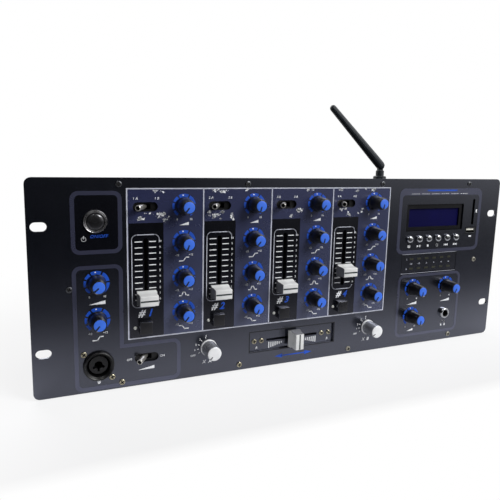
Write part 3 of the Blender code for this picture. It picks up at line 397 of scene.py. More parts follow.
SHEEN_IOR = 1.75
COOL_SHEEN = "e8ecff"
PLAIN_FINISH = {
    "other": 1.25, "rough": 0.4, "rough_spread": 0.1, "dust": 0.02, "clouds": 20.0, "metal": 0.0,
    "coat": 0.0, "coat_rough": 0.1, "specular": 0.5, "sheen": None, "painted_glow": 0.0, "grain": None,
    "rings": None,
}
FINISHES = {
    "Panel paint": dict(
        tone="paint.panel", rough=0.23, rough_spread=0.02, dust=0.003, clouds=9.0,
        grain=(1800.0, 0.03), specular=1.0, sheen=COOL_SHEEN,
    ),
    # Also painted shade on the sides of the square keys
    "Meter window": dict(
        tone="06070a", rough=0.24, rough_spread=0.05, clouds=30.0, dust=0.0, specular=0.9,
        sheen=COOL_SHEEN,
    ),
    "Powder coat": dict(
        tone="paint.case", rough=0.5, dust=0.03, clouds=14.0, grain=(2200.0, 0.5),
    ),
    "Channel field print": dict(
        tone="paint.field_high", other=1.1, rough=0.27, rough_spread=0.02, dust=0.003,
        clouds=26.0, grain=(1800.0, 0.03), specular=0.8, sheen=COOL_SHEEN,
    ),
    "Frame print": dict(
        tone="paint.frames", other=1.08, rough=0.28, rough_spread=0.02, clouds=30.0, dust=0.003,
        specular=1.0, sheen=COOL_SHEEN,
    ),
    "Column print": dict(
        tone="paint.columns", rough=0.22, rough_spread=0.02, dust=0.003, specular=0.6,
        sheen="eef0ff",
    ),
    "Line print": dict(tone="paint.lines", rough=0.5, clouds=120.0, dust=0.0),
    "White print": dict(tone="paint.print_white", rough=0.5, clouds=200.0, dust=0.0),
    "Blue print": dict(tone="paint.print_blue", other=1.3, rough=0.45, clouds=90.0, dust=0.0),
    "Knob plastic": dict(
        tone="knobs.shell", rough=0.36, rough_spread=0.04, dust=0.0, clouds=200.0, coat=0.5,
        specular=0.4,
    ),
    "Cap plastic": dict(
        tone="knobs.cap", other=0.93, rough=0.42, clouds=300.0, dust=0.0, grain=(3000.0, 0.1),
    ),
    "Pointer ink": dict(tone="0b142a", rough=0.5, clouds=300.0, dust=0.0),
    "Selector side": dict(
        tone="knobs.assign_side", rough=0.3, metal=0.6, clouds=150.0, dust=0.0,
        rings=(900.0, 0.2),
    ),
    "Selector top": dict(tone="knobs.assign_top", other=0.95, rough=0.35, clouds=200.0, dust=0.0),
    "Fader plastic": dict(
        tone="faders.cap", other=0.94, rough=0.3, clouds=150.0, dust=0.0, grain=(2500.0, 0.06),
    ),
    # Painted shade on the end faces of the fader caps
    "Shaded plastic": dict(tone="faders.ends", rough=0.35, clouds=150.0, dust=0.0),
    "Fader line": dict(tone="faders.line", clouds=200.0, dust=0.0),
    "Bright plating": dict(
        tone="metal.chrome", other=0.9, rough=0.12, rough_spread=0.08, metal=1.0, clouds=160.0,
        dust=0.0,
    ),
    "Satin nickel": dict(
        tone="metal.lever", other=0.88, rough=0.3, rough_spread=0.08, metal=0.85, clouds=260.0,
        dust=0.0,
    ),
    "Dark plating": dict(
        tone="metal.key", other=0.7, rough=0.26, rough_spread=0.14, metal=0.8, coat=0.6,
        coat_rough=0.06, clouds=420.0, dust=0.0,
    ),
    "Pale zinc": dict(
        tone="c2beae", other="8f8c80", rough=0.45, rough_spread=0.2, metal=0.5, clouds=240.0,
        dust=0.0,
    ),
    "Dull nickel": dict(
        tone="metal.ring", other=0.8, rough=0.26, rough_spread=0.14, metal=1.0, clouds=220.0,
        dust=0.0,
    ),
    "Zinc-plated steel": dict(
        tone="metal.steel", other=0.75, rough=0.35, rough_spread=0.2, metal=1.0, clouds=120.0,
        dust=0.0, grain=(1400.0, 0.1),
    ),
    "Yellow zinc": dict(
        tone="metal.brass", other=0.7, rough=0.3, rough_spread=0.2, metal=1.0, clouds=300.0,
        dust=0.0,
    ),
    "Jack plastic": dict(tone="plastic.jack", rough=0.38, clouds=120.0, grain=(2400.0, 0.15)),
    # Near black painted into recesses, hollow ends and along the crossfader window's edge, as shade
    "Dark hollow": dict(tone="030304", rough=0.6, clouds=100.0, dust=0.0),
    "Key plastic": dict(
        tone="plastic.keys", rough=0.3, dust=0.01, clouds=160.0, grain=(2600.0, 0.1),
    ),
    "Antenna plastic": dict(
        tone="plastic.antenna", rough=0.48, clouds=110.0, grain=(2400.0, 0.25),
    ),
    "White plastic": dict(tone="e8e6dc", rough=0.45, clouds=200.0, dust=0.0),
    "Red plastic": dict(tone="a81c1c", clouds=200.0, dust=0.0),
    # The unlit display gets a faint painted glow through emission
    "Display glass": dict(
        tone="plastic.display", other=0.7, rough=0.6, clouds=25.0, dust=0.0, specular=0.08,
        painted_glow=0.14,
    ),
    "Smoked window": dict(
        tone="07070b", rough=0.3, rough_spread=0.06, clouds=30.0, dust=0.005, specular=0.4,
    ),
    "Lamp lens": dict(tone="plastic.lamp", rough=0.25, clouds=200.0, dust=0.0, coat=0.4),
    "Clear lamp": dict(tone="d6d8d2", rough=0.2, clouds=200.0, dust=0.0, coat=0.6),
    "Board mask": dict(
        tone="plastic.board", other=1.5, rough=0.35, clouds=300.0, dust=0.03,
        grain=(900.0, 0.3),
    ),
}


def tone_of(source):
    """A colour in linear light, from six hexadecimal figures or from a setting."""
    if "." not in source:
        return screen(source)
    group, name = source.split(".")
    return tuple(getattr(getattr(settings(), group), name))


def finish(name):
    """A material of the mixer: a worn two-tone colour over a fine grain."""
    if name in bpy.data.materials:
        return bpy.data.materials[name]
    look = {**PLAIN_FINISH, **FINISHES[name]}
    tone, other = tone_of(look["tone"]), look["other"]
    if isinstance(other, str):
        other = tone_of(other)
    else:
        other = tuple(min(1, other * part) for part in tone)
    material = bpy.data.materials.new(name)
    material.use_nodes = True
    tree = material.node_tree
    shader = tree.nodes["Principled BSDF"]
    worn = tree.nodes.new("ShaderNodeGroup")
    worn.node_tree = worn_tone_group()
    for node, socket, value in (
        (shader, "Metallic", look["metal"]), (shader, "Specular IOR Level", look["specular"]),
        (shader, "Coat Weight", look["coat"]), (shader, "Coat Roughness", look["coat_rough"]),
        (worn, "Colour", (*tone, 1)), (worn, "Other Colour", (*other, 1)),
        (worn, "Dust", look["dust"]), (worn, "Cloud Scale", look["clouds"]),
        (worn, "Roughness", look["rough"]), (worn, "Roughness Spread", look["rough_spread"]),
    ):
        node.inputs[socket].default_value = value
    tree.links.new(worn.outputs["Colour"], shader.inputs["Base Color"])
    tree.links.new(worn.outputs["Roughness"], shader.inputs["Roughness"])
    if look["sheen"]:
        shader.inputs["Specular Tint"].default_value = (*screen(look["sheen"]), 1)
        shader.inputs["IOR"].default_value = SHEEN_IOR
    # Painted glow: the finish's own colour is given off as light
    if look["painted_glow"]:
        tree.links.new(worn.outputs["Colour"], shader.inputs["Emission Color"])
        shader.inputs["Emission Strength"].default_value = look["painted_glow"]
    for values, group in ((look["grain"], fine_grain_group), (look["rings"], turned_group)):
        if values:
            node = tree.nodes.new("ShaderNodeGroup")
            node.node_tree = group()
            node.inputs["Scale"].default_value, node.inputs["Strength"].default_value = values
            tree.links.new(node.outputs["Normal"], shader.inputs["Normal"])
    return material


def part_of(tree, place, axis):
    """One of the three parts of a place or a direction."""
    way = tree.nodes.new("ShaderNodeSeparateXYZ")
    tree.links.new(place, way.inputs[0])
    return way.outputs[axis]


def fade_field_ink():
    """Makes the channels' slate ink paler towards their lower end."""
    tree = finish("Channel field print").node_tree
    shader = tree.nodes["Principled BSDF"]
    ink = shader.inputs["Base Color"].links[0].from_socket
    height = part_of(tree, object_place(tree), "Z")
    middle = DRAWING.translation.z
    rise = spread(tree, height, 0.0, 1.0, middle - 0.03, middle + 0.075)
    faded = blend_colours(tree, rise, tone_of("paint.field_low"), ink)
    tree.links.new(faded, shader.inputs["Base Color"])


def blacken_board_bodies():
    """A finish with solder mask on the board, and black on the bodies that stand on its front."""
    material = finish("Board mask").copy()
    material.name = "Control board"
    tree = material.node_tree
    shader = tree.nodes["Principled BSDF"]
    mask = shader.inputs["Base Color"].links[0].from_socket
    depth = part_of(tree, object_place(tree), "Y")
    board_front = DRAWING.translation.y + BOARD_DEPTH / 1000
    on_board = calculate(tree, "GREATER_THAN", depth, board_front - 0.0002)
    tree.links.new(
        blend_colours(tree, on_board, screen("09090b"), mask), shader.inputs["Base Color"],
    )


# Shapes, drawn in the drawing frame

def arc(x, z, radius, start, end, steps):
    """Points along an arc, with angles in degrees from the right, anticlockwise."""
    angles = [math.radians(start + (end - start) * i / steps) for i in range(steps + 1)]
    return [(x + radius * math.cos(a), z + radius * math.sin(a)) for a in angles]


def circle(x, z, radius, sides=32):
    return arc(x, z, radius, 0, 360, sides)[:-1]


def rounded(left, bottom, right, top, radius, steps=6):
    """The outline of a rectangle with round corners."""
    corners = [
        (right - radius, top - radius, 0), (left + radius, top - radius, 90),
        (left + radius, bottom + radius, 180), (right - radius, bottom + radius, 270),
    ]
    outline = []
    for x, z, turn in corners:
        outline += arc(x, z, radius, turn, turn + 90, steps)
    return outline


def grown(box, by):
    """A rectangle with its sides moved outwards."""
    left, bottom, right, top = box
    return left - by, bottom - by, right + by, top + by


def rectangle(left, bottom, right, top):
    return [(left, bottom), (right, bottom), (right, top), (left, top)]


def stadium(x, z, width, height, steps=10):
    radius = height / 2
    reach = width / 2 - radius
    return arc(x + reach, z, radius, -90, 90, steps) + arc(x - reach, z, radius, 90, 270, steps)


def add_plate(shape, loops, bottom=PRINT_BOTTOM, top=LINE_TOP):
    """A flat plate between two heights. The first loop is its rim, the others are holes."""
    edges = []
    for loop in loops:
        verts = [shape.verts.new((x, -bottom, z)) for x, z in loop]
        edges += [shape.edges.new(pair) for pair in zip(verts, verts[1:] + verts[:1])]
    made = bmesh.ops.triangle_fill(shape, use_beauty=True, use_dissolve=False, edges=edges)
    faces = [item for item in made["geom"] if isinstance(item, bmesh.types.BMFace)]
    raised = bmesh.ops.extrude_face_region(shape, geom=faces)["geom"]
    verts = [item for item in raised if isinstance(item, bmesh.types.BMVert)]
    bmesh.ops.translate(shape, vec=(0, bottom - top, 0), verts=verts)


def add_bar(shape, x, z, width, height, bottom=PRINT_BOTTOM, top=MARK_TOP):
    add_plate(
        shape, [rectangle(x - width / 2, z - height / 2, x + width / 2, z + height / 2)],
        bottom, top,
    )


def add_stroke(shape, points, width, bottom=PRINT_BOTTOM, top=MARK_TOP):
    """A line of even width through the points, as one plate for each stretch."""
    for (x0, z0), (x1, z1) in zip(points, points[1:]):
        reach = math.hypot(x1 - x0, z1 - z0)
        dx, dz = (x1 - x0) / reach * width / 2, (z1 - z0) / reach * width / 2
        loop = [
            (x0 - dx + dz, z0 - dz - dx), (x1 + dx + dz, z1 + dz - dx),
            (x1 + dx - dz, z1 + dz + dx), (x0 - dx - dz, z0 - dz + dx),
        ]
        add_plate(shape, [loop], bottom, top)


def add_outline(shape, loop, inner):
    add_plate(shape, [loop, inner])


def add_turned(shape, profile, sides, x=0.0, z=0.0):
    """A profile of radius and height above the panel, turned about a line along y."""
    verts = [shape.verts.new((x + radius, -out, z)) for radius, out in profile]
    edges = [shape.edges.new(pair) for pair in zip(verts, verts[1:])]
    bmesh.ops.spin(
        shape, geom=verts + edges, cent=(x, 0, z), axis=(0, 1, 0), angle=math.tau, steps=sides,
        use_merge=True,
    )


def add_block(shape, low, high):
    """A rectangular block between two corners."""
    made = bmesh.ops.create_cube(shape, size=1.0)["verts"]
    size = Vector(high) - Vector(low)
    bmesh.ops.scale(shape, vec=size, verts=made)
    bmesh.ops.translate(shape, vec=(Vector(low) + Vector(high)) / 2, verts=made)
    return made


def add_words(
    shape, words, x, z, height, lean=0.0, weight=0.008, bottom=PRINT_BOTTOM, top=MARK_TOP,
):
    """Plain figures or words that stand between two heights."""
    curve = bpy.data.curves.new("words", "FONT")
    curve.body = words
    curve.align_x = "CENTER"
    curve.offset = weight
    curve.shear = lean
    curve.resolution_u = 2
    curve.extrude = 0.5
    holder = bpy.data.objects.new("words", curve)
    mesh = bpy.data.meshes.new_from_object(holder)
    low = min(vert.co.y for vert in mesh.vertices)
    high = max(vert.co.y for vert in mesh.vertices)
    size = height / (high - low)
    mesh.transform(
        Matrix.Translation((x, -(bottom + top) / 2, z))
        @ Matrix.Rotation(math.pi / 2, 4, "X")
        @ Matrix.Diagonal((size, size, top - bottom, 1))
        @ Matrix.Translation((0, -(low + high) / 2, 0))
    )
    shape.from_mesh(mesh)
    bpy.data.objects.remove(holder)
    bpy.data.curves.remove(curve)
    bpy.data.meshes.remove(mesh)


def painted(shape, index, before):
    """Gives the faces that aren't in the set a finish of their own."""
    for face in shape.faces:
        if face not in before:
            face.material_index = index


def stand(shape, place, turn):
    """Turns a shape made at the drawing's middle, and moves it to its place on the panel."""
    bmesh.ops.transform(
        shape, matrix=Matrix.Translation((place.x, 0, place.z)) @ turn, verts=shape.verts,
    )


def make_piece(
    name, shape, finishes, body="mixer", stands_for=(), sharp=35,
):
    """Turns a finished shape into a piece of the mixer that rides on a body."""
    bmesh.ops.remove_doubles(shape, verts=shape.verts, dist=WELD)
    bmesh.ops.recalc_face_normals(shape, faces=shape.faces)
    bmesh.ops.transform(shape, matrix=DRAWING, verts=shape.verts)
    mesh = bpy.data.meshes.new(name)
    shape.to_mesh(mesh)
    shape.free()
    if sharp:
        mesh.shade_smooth()
        mesh.set_sharp_from_angle(angle=math.radians(sharp))
    for look in (finishes,) if isinstance(finishes, str) else finishes:
        mesh.materials.append(finish(look))
    piece = bpy.data.objects.new(name, mesh)
    bpy.context.scene.collection.objects.link(piece)
    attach(piece, body)
    if stands_for:
        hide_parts(*stands_for)
    return piece


def dress(node, look):
    """Gives a CAD piece that stays in view its finish."""
    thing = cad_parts[node]
    material = finish(look)
    if not thing.material_slots:
        thing.data.materials.append(material)
    for place in thing.material_slots:
        place.material = material


# The stage

# The camera's place in metres, its turns in radians, and its focal length and middle in pixels
CAMERA_PLACE = (-0.23428, -0.46204, 0.19941)
CAMERA_YAW, CAMERA_PITCH, CAMERA_ROLL = 0.4092, 0.1611, 0.0253
FOCAL_PIXELS, CENTRE_X, CENTRE_Y, PICTURE = 512.88, 255.24, 236.88, 500
FLOOR_LEFT, FLOOR_RIGHT, FLOOR_FRONT, FLOOR_BACK = -0.75, 0.9, -0.42, 0.9
LAMPS = (
    # name, place, what it looks at, its two sides, and the setting of its power
    ("Key light", (0.95, -1.25, 1.25), (0, 0, 0.1), (0.9, 0.9), "key_power"),
    ("Ceiling light", (-0.5, -0.8, 1.4), (0, 0, 0.1), (0.17, 0.17), "ceiling_power"),
    ("Back light", (-0.5, 1.6, 1.2), (0, 0.05, 0.1), (1.4, 0.9), "back_power"),
)


def make_camera():
    ahead = Vector((
        math.sin(CAMERA_YAW) * math.cos(CAMERA_PITCH),
        math.cos(CAMERA_YAW) * math.cos(CAMERA_PITCH), -math.sin(CAMERA_PITCH),
    ))
    right = Vector((math.cos(CAMERA_YAW), -math.sin(CAMERA_YAW), 0))
    up = right.cross(ahead)
    side = math.cos(CAMERA_ROLL) * right + math.sin(CAMERA_ROLL) * up
    top = -math.sin(CAMERA_ROLL) * right + math.cos(CAMERA_ROLL) * up
    camera = bpy.data.objects.new("Camera", bpy.data.cameras.new("Camera"))
    turn = Matrix((side, top, -ahead)).transposed().to_4x4()
    camera.matrix_world = Matrix.Translation(CAMERA_PLACE) @ turn
    camera.data.sensor_width = 36
    camera.data.lens = FOCAL_PIXELS / PICTURE * camera.data.sensor_width
    camera.data.shift_x = (PICTURE / 2 - CENTRE_X) / PICTURE
    camera.data.shift_y = (CENTRE_Y - PICTURE / 2) / PICTURE
    camera.data.clip_start = 0.01
    bpy.context.scene.collection.objects.link(camera)
    bpy.context.scene.camera = camera


def make_lamp(name, place, target, size, power):
    light = bpy.data.lights.new(name, "AREA")
    light.shape = "RECTANGLE"
    light.size, light.size_y = size
    light.energy = power
    lamp = bpy.data.objects.new(name, light)
    lamp.location = place
    lamp.rotation_euler = (Vector(target) - Vector(place)).to_track_quat("-Z", "Y").to_euler()
    bpy.context.scene.collection.objects.link(lamp)


def shown_white(tree):
    """Which rays see the background: those of the camera or through glass, and reflected ones."""
    ray = tree.nodes.new("ShaderNodeLightPath")
    seen = calculate(
        tree, "MAXIMUM", ray.outputs["Is Camera Ray"], ray.outputs["Is Transmission Ray"],
    )
    return seen, ray.outputs["Is Glossy Ray"]


def make_floor():
    """A pale sheet under the mixer that the camera sees fade to white away from it. In front of the
    mixer its colour turns grey as painted shade, which mostly only light bounced or mirrored off
    the floor shows.
    """
    shape = bmesh.new()
    bmesh.ops.create_grid(shape, x_segments=1, y_segments=1, size=0.5)
    bmesh.ops.scale(
        shape, vec=(FLOOR_RIGHT - FLOOR_LEFT, FLOOR_BACK - FLOOR_FRONT, 1), verts=shape.verts,
    )
    middle = ((FLOOR_LEFT + FLOOR_RIGHT) / 2, (FLOOR_FRONT + FLOOR_BACK) / 2, 0)
    bmesh.ops.translate(shape, vec=middle, verts=shape.verts)
    mesh = bpy.data.meshes.new("Floor")
    shape.to_mesh(mesh)
    shape.free()
    floor = bpy.data.objects.new("Floor", mesh)
    bpy.context.scene.collection.objects.link(floor)
    material = bpy.data.materials.new("Floor paper")
    material.use_nodes = True
    tree = material.node_tree
    tree.nodes.clear()
    out = tree.nodes.new("ShaderNodeOutputMaterial")
    paper = tree.nodes.new("ShaderNodeBsdfDiffuse")
    white = tree.nodes.new("ShaderNodeEmission")
    both = tree.nodes.new("ShaderNodeMixShader")
    place = object_place(tree)
    distance = tree.nodes.new("ShaderNodeVectorMath")
    distance.operation = "LENGTH"
    tree.links.new(place, distance.inputs[0])
    ahead = calculate(tree, "MULTIPLY", part_of(tree, place, "Y"), -1.0)
    # Painted shade: the floor's colour turns grey in front of the mixer, for the light it bounces
    # and for what shiny parts mirror
    floor_painted_shade = spread(tree, ahead, 0.0, 1.0, 0.07, 0.25)
    tree.links.new(
        blend_colours(tree, floor_painted_shade, tuple(settings().stage.floor), screen("505055")),
        paper.inputs["Color"],
    )
    fade = calculate(
        tree, "MAXIMUM", spread(tree, distance.outputs["Value"], 0.8, 1.0, 0.25, 0.5),
        spread(tree, ahead, 0.0, 1.0, 0.07, 0.16),
    )
    seen = shown_white(tree)[0]
    tree.links.new(calculate(tree, "MULTIPLY", fade, seen), both.inputs["Fac"])
    tree.links.new(paper.outputs[0], both.inputs[1])
    tree.links.new(white.outputs[0], both.inputs[2])
    tree.links.new(both.outputs[0], out.inputs["Surface"])
    mesh.materials.append(material)


def make_world():
    """White where it is looked at, and a plain even light on the mixer."""
    world = bpy.data.worlds.new("World")
    bpy.context.scene.world = world
    world.use_nodes = True
    tree = world.node_tree
    tree.nodes.clear()
    out = tree.nodes.new("ShaderNodeOutputWorld")
    plain = tree.nodes.new("ShaderNodeBackground")
    white = tree.nodes.new("ShaderNodeBackground")
    for background in (plain, white):
        background.inputs["Color"].default_value = (1, 1, 1, 1)
    both = tree.nodes.new("ShaderNodeMixShader")
    seen, glossy = shown_white(tree)
    direction = tree.nodes.new("ShaderNodeTexCoord").outputs["Generated"]
    x, y, z = (part_of(tree, direction, axis) for axis in "XYZ")
    # Brighter to the right, and darker below the horizon: gently so for dull surfaces, and
    # strongly for what shiny ones mirror
    across = spread(tree, x, 0.25, 1.75, -0.5, 0.8)
    upwards = spread(tree, z, 0.15, 1.0, -0.1, 0.08)
    soft = calculate(tree, "MULTIPLY", across, upwards)
    across = spread(tree, x, 0.08, 2.6, 0.25, 0.85)
    upwards = spread(tree, z, 0.02, 1.0, -0.13, 0.08)
    gloss = calculate(tree, "MULTIPLY", across, upwards)
    shift = calculate(tree, "MULTIPLY", glossy, calculate(tree, "SUBTRACT", gloss, soft))
    lit = calculate(tree, "ADD", soft, shift)
    room = calculate(tree, "MULTIPLY", lit, settings().stage.ambient)
    tree.links.new(room, plain.inputs["Strength"])
    behind = spread(tree, y, 0.0, 1.0, -0.1, 0.5)
    mirrored = calculate(tree, "MULTIPLY", glossy, behind)
    tree.links.new(calculate(tree, "MAXIMUM", seen, mirrored), both.inputs["Fac"])
    tree.links.new(plain.outputs[0], both.inputs[1])
    tree.links.new(white.outputs[0], both.inputs[2])
    tree.links.new(both.outputs[0], out.inputs["Surface"])


# Panel printing

def strip_left(i):
    return STRIP_LEFT + STRIP_PITCH * (i - 1)


def shaft_holes(knobs):
    return [circle(middle_of(k).x, middle_of(k).z, SHAFT_OPENING, 20) for k in knobs]


def fader_slot(i):
    x = strip_left(i) + FADER_OFFSET
    half = FADER_SLOT_WIDTH / 2 + PRINT_GAP
    return rounded(x - half, FADER_SLOT_BOTTOM, x + half, FADER_SLOT_TOP, 0.5, 2)


def cue_hole(i):
    place = middle_of(f"cue_button_{i}")
    half = CUE_OPENING / 2
    return rectangle(place.x - half, place.z - half, place.x + half, place.z + half)


def toggle_place(i):
    return strip_left(i) + FADER_OFFSET, TOGGLE_Z


def toggle_hole(i):
    gap = 2 * PRINT_GAP
    return stadium(*toggle_place(i), TOGGLE_LENGTH + gap, TOGGLE_HEIGHT + gap)


def print_fields():
    """The four channels' slate fields, the black columns, and a painted shadow line round the
    crossfader's window.
    """
    shape = bmesh.new()
    for i in STRIPS:
        left = strip_left(i)
        right = left + STRIP_PITCH if i < 4 else BLOCK_RIGHT
        loops = [rectangle(left, BLOCK_BOTTOM, right, BLOCK_TOP)]
        loops += shaft_holes(CHANNEL_KNOBS[4 * (i - 1):4 * i])
        loops += [fader_slot(i), cue_hole(i), toggle_hole(i)]
        add_plate(shape, loops, top=FIELD_TOP)
    fade_field_ink()
    make_piece("channel_fields", shape, "Channel field print", sharp=0)

    shape = bmesh.new()
    for i in STRIPS:
        left = strip_left(i)
        outline = rectangle(left + COLUMN_LEFT, BLOCK_BOTTOM, left + COLUMN_RIGHT, COLUMN_TOP)
        add_plate(shape, [outline, fader_slot(i), cue_hole(i)], top=COLUMN_PRINT_TOP)
    power = middle_of("power_switch")
    add_plate(
        shape, [rounded(*POWER_FIELD, 4.5), circle(power.x, power.z, POWER_OPENING)],
        top=COLUMN_PRINT_TOP,
    )
    make_piece("black_columns", shape, "Column print", sharp=0)

    shape = bmesh.new()
    # A near-black band round the crossfader's window: painted shadow along the window's edges
    edge = [rectangle(*grown(CROSSFADER_WINDOW, 0.7)), rectangle(*CROSSFADER_WINDOW)]
    add_plate(shape, edge, top=COLUMN_PRINT_TOP)
    make_piece("window_edge", shape, "Dark hollow", sharp=0)


def print_frames():
    """The broad slate outlines round the groups of controls."""
    shape = bmesh.new()
    add_outline(
        shape, rounded(-209.6, 27.7, -170.2, 78.0, 6.5), rounded(-206.3, 31.0, -173.5, 74.7, 3.6),
    )
    outer = arc(-203.3, 12.0, 6.5, 90, 180, 6) + arc(-203.3, -80.8, 6.5, 180, 270, 6)
    outer += arc(-128.3, -80.8, 6.5, 270, 360, 6) + arc(-128.3, -56.7, 6.5, 0, 90, 6)
    outer += [(-170.3, -50.2)] + arc(-176.8, 12.0, 6.5, 0, 90, 6)
    inner = arc(-203.0, 11.7, 3.6, 90, 180, 6) + arc(-203.0, -80.2, 3.6, 180, 270, 6)
    inner += arc(-128.6, -80.2, 3.6, 270, 360, 6) + arc(-128.6, -57.0, 3.6, 0, 90, 6)
    inner += [(-173.6, -53.4)] + arc(-177.2, 11.7, 3.6, 0, 90, 6)
    add_outline(shape, outer, inner)
    add_outline(
        shape, rounded(104.9, 11.0, 215.8, 78.7, 7), rounded(108.6, 14.4, 212.1, 71.8, 4),
    )
    add_outline(
        shape, rounded(110.2, -79.4, 194.4, -11.6, 7), rounded(113.0, -76.6, 191.6, -14.4, 4.5),
    )
    make_piece("slate_frames", shape, "Frame print", sharp=0)


def fader_outline(left):
    """The thin outline round a fader's scale, open beside its numbers."""
    x0, x1, z0, z1, radius = left + 3.3, left + 26.0, -19.7, 41.8, 4.0
    run = [(x1, 35.6)] + arc(x1 - radius, z1 - radius, radius, 0, 90, 5)
    run += arc(x0 + radius, z1 - radius, radius, 90, 180, 5)
    run += arc(x0 + radius, z0 + radius, radius, 180, 270, 5)
    run += arc(x1 - radius, z0 + radius, radius, 270, 350, 5)
    return run


def print_lines():
    """The thin pale lines round the channels and the faders."""
    shape = bmesh.new()
    add_outline(shape, rectangle(*grown(BLOCK, 0.5)), rectangle(*grown(BLOCK, -0.5)))
    for i in STRIPS[1:]:
        add_bar(
            shape, strip_left(i), (BLOCK_BOTTOM + BLOCK_TOP) / 2, 1.0, BLOCK_TOP - BLOCK_BOTTOM,
            top=LINE_TOP,
        )
    for i in STRIPS:
        add_stroke(shape, fader_outline(strip_left(i)), 0.65, top=LINE_TOP)
    make_piece("pale_lines", shape, "Line print", sharp=0)


def print_scales():
    """The fader scales with their numbers, and the crossfader's bars."""
    shape = bmesh.new()
    for i in STRIPS:
        left = strip_left(i)
        for step in range(SCALE_STEPS):
            z = SCALE_TOP - SCALE_PITCH * step
            add_bar(shape, left + 8.85, z, 6.3, 0.75)
            add_bar(shape, left + 20.35, z, 5.9, 0.75)
            add_words(shape, str(SCALE_STEPS - 1 - step), left + 26.6, z, 1.9)
        add_words(shape, "#", left + 10.6, -25.3, 6.4, lean=0.3, weight=0.03)
    layer = {"bottom": PLATE_FACE, "top": PLATE_FACE + MARK_TOP}
    for side, start in ((-1, -35.4), (1, 14.8)):
        for step in range(7):
            x = start - side * 2.18 * step
            tall = 6.2 - 0.75 * step
            add_bar(shape, x, -69.0 + (6.2 - tall) * 0.3, 0.9, tall, **layer)
    for words, x in (("A", -48.4), ("B", 27.9)):
        add_words(shape, words, x, -70.1, 2.4, lean=0.2, **layer)
    make_piece("scale_print", shape, "White print", sharp=0)


# Where the ring's six stretches begin and end in degrees, and how broad each begins
RING_TURNS = (238, 201, 161, 123, 63, 4, -61)
RING_WIDTHS = (2.2, 1.8, 2.0, 2.6, 3.4, 2.8)
RING_OUTER, RING_GAP = 10.1, 4.2


def add_ring(shape, x, z):
    """The broken ring round a knob, narrow at the left and broad at the upper right."""
    widths = RING_WIDTHS + RING_WIDTHS[-1:]
    for i in range(len(RING_WIDTHS)):
        start, end = RING_TURNS[i] - RING_GAP, RING_TURNS[i + 1] + RING_GAP
        outer = arc(x, z, RING_OUTER, start, end, 8)
        inner = []
        for step in range(9):
            turn = math.radians(end + (start - end) * step / 8)
            width = widths[i + 1] + (widths[i] - widths[i + 1]) * step / 8
            reach = RING_OUTER - width
            inner.append((x + reach * math.cos(turn), z + reach * math.sin(turn)))
        add_plate(shape, [outer + inner], top=MARK_TOP)


def print_rings():
    """The blue rings round the knobs, with blue figures and bars."""
    shape = bmesh.new()
    for knob in CHANNEL_KNOBS + OTHER_KNOBS:
        place = middle_of(knob)
        add_ring(shape, place.x, place.z)
    for i in STRIPS:
        add_words(shape, str(i), strip_left(i) + 17.8, -25.0, 6.4, lean=0.3, weight=0.03)
    add_words(shape, "ON/OFF", -188.6, 42.0, 2.7, lean=0.25)
    add_bar(shape, 160.0, 76.6, 40.0, 1.5)
    add_stroke(shape, [(-22.0, -80.5), (2.0, -80.5)], 1.0)
    add_plate(shape, [[(-30, -80.5), (-22, -82.5), (-22, -78.5)]], top=MARK_TOP)
    add_plate(shape, [[(10, -80.5), (2, -78.5), (2, -82.5)]], top=MARK_TOP)
    make_piece("blue_print", shape, "Blue print", sharp=0)


def add_wedge(shape, x, z, width, height):
    """A rising wedge, the usual sign for a level."""
    add_plate(
        shape,
        [[(x - width / 2, z - height / 2), (x + width / 2, z - height / 2),
          (x + width / 2, z + height / 2)]],
        top=MARK_TOP,
    )


def add_curve_sign(shape, x, z, kind):
    """The usual sign for a tone control: a shelf or a bump on a line."""
    rise = 1.5
    if kind == "high":
        points = [(-4, -rise), (-0.5, -rise), (1.5, rise), (4, rise)]
    elif kind == "low":
        points = [(-4, rise), (-1.5, rise), (0.5, -rise), (4, -rise)]
    else:
        points = [(-4, -rise), (-2, -rise), (-0.8, rise), (0.8, rise), (2, -rise), (4, -rise)]
    add_stroke(shape, [(x + dx, z + dz) for dx, dz in points], 0.8)


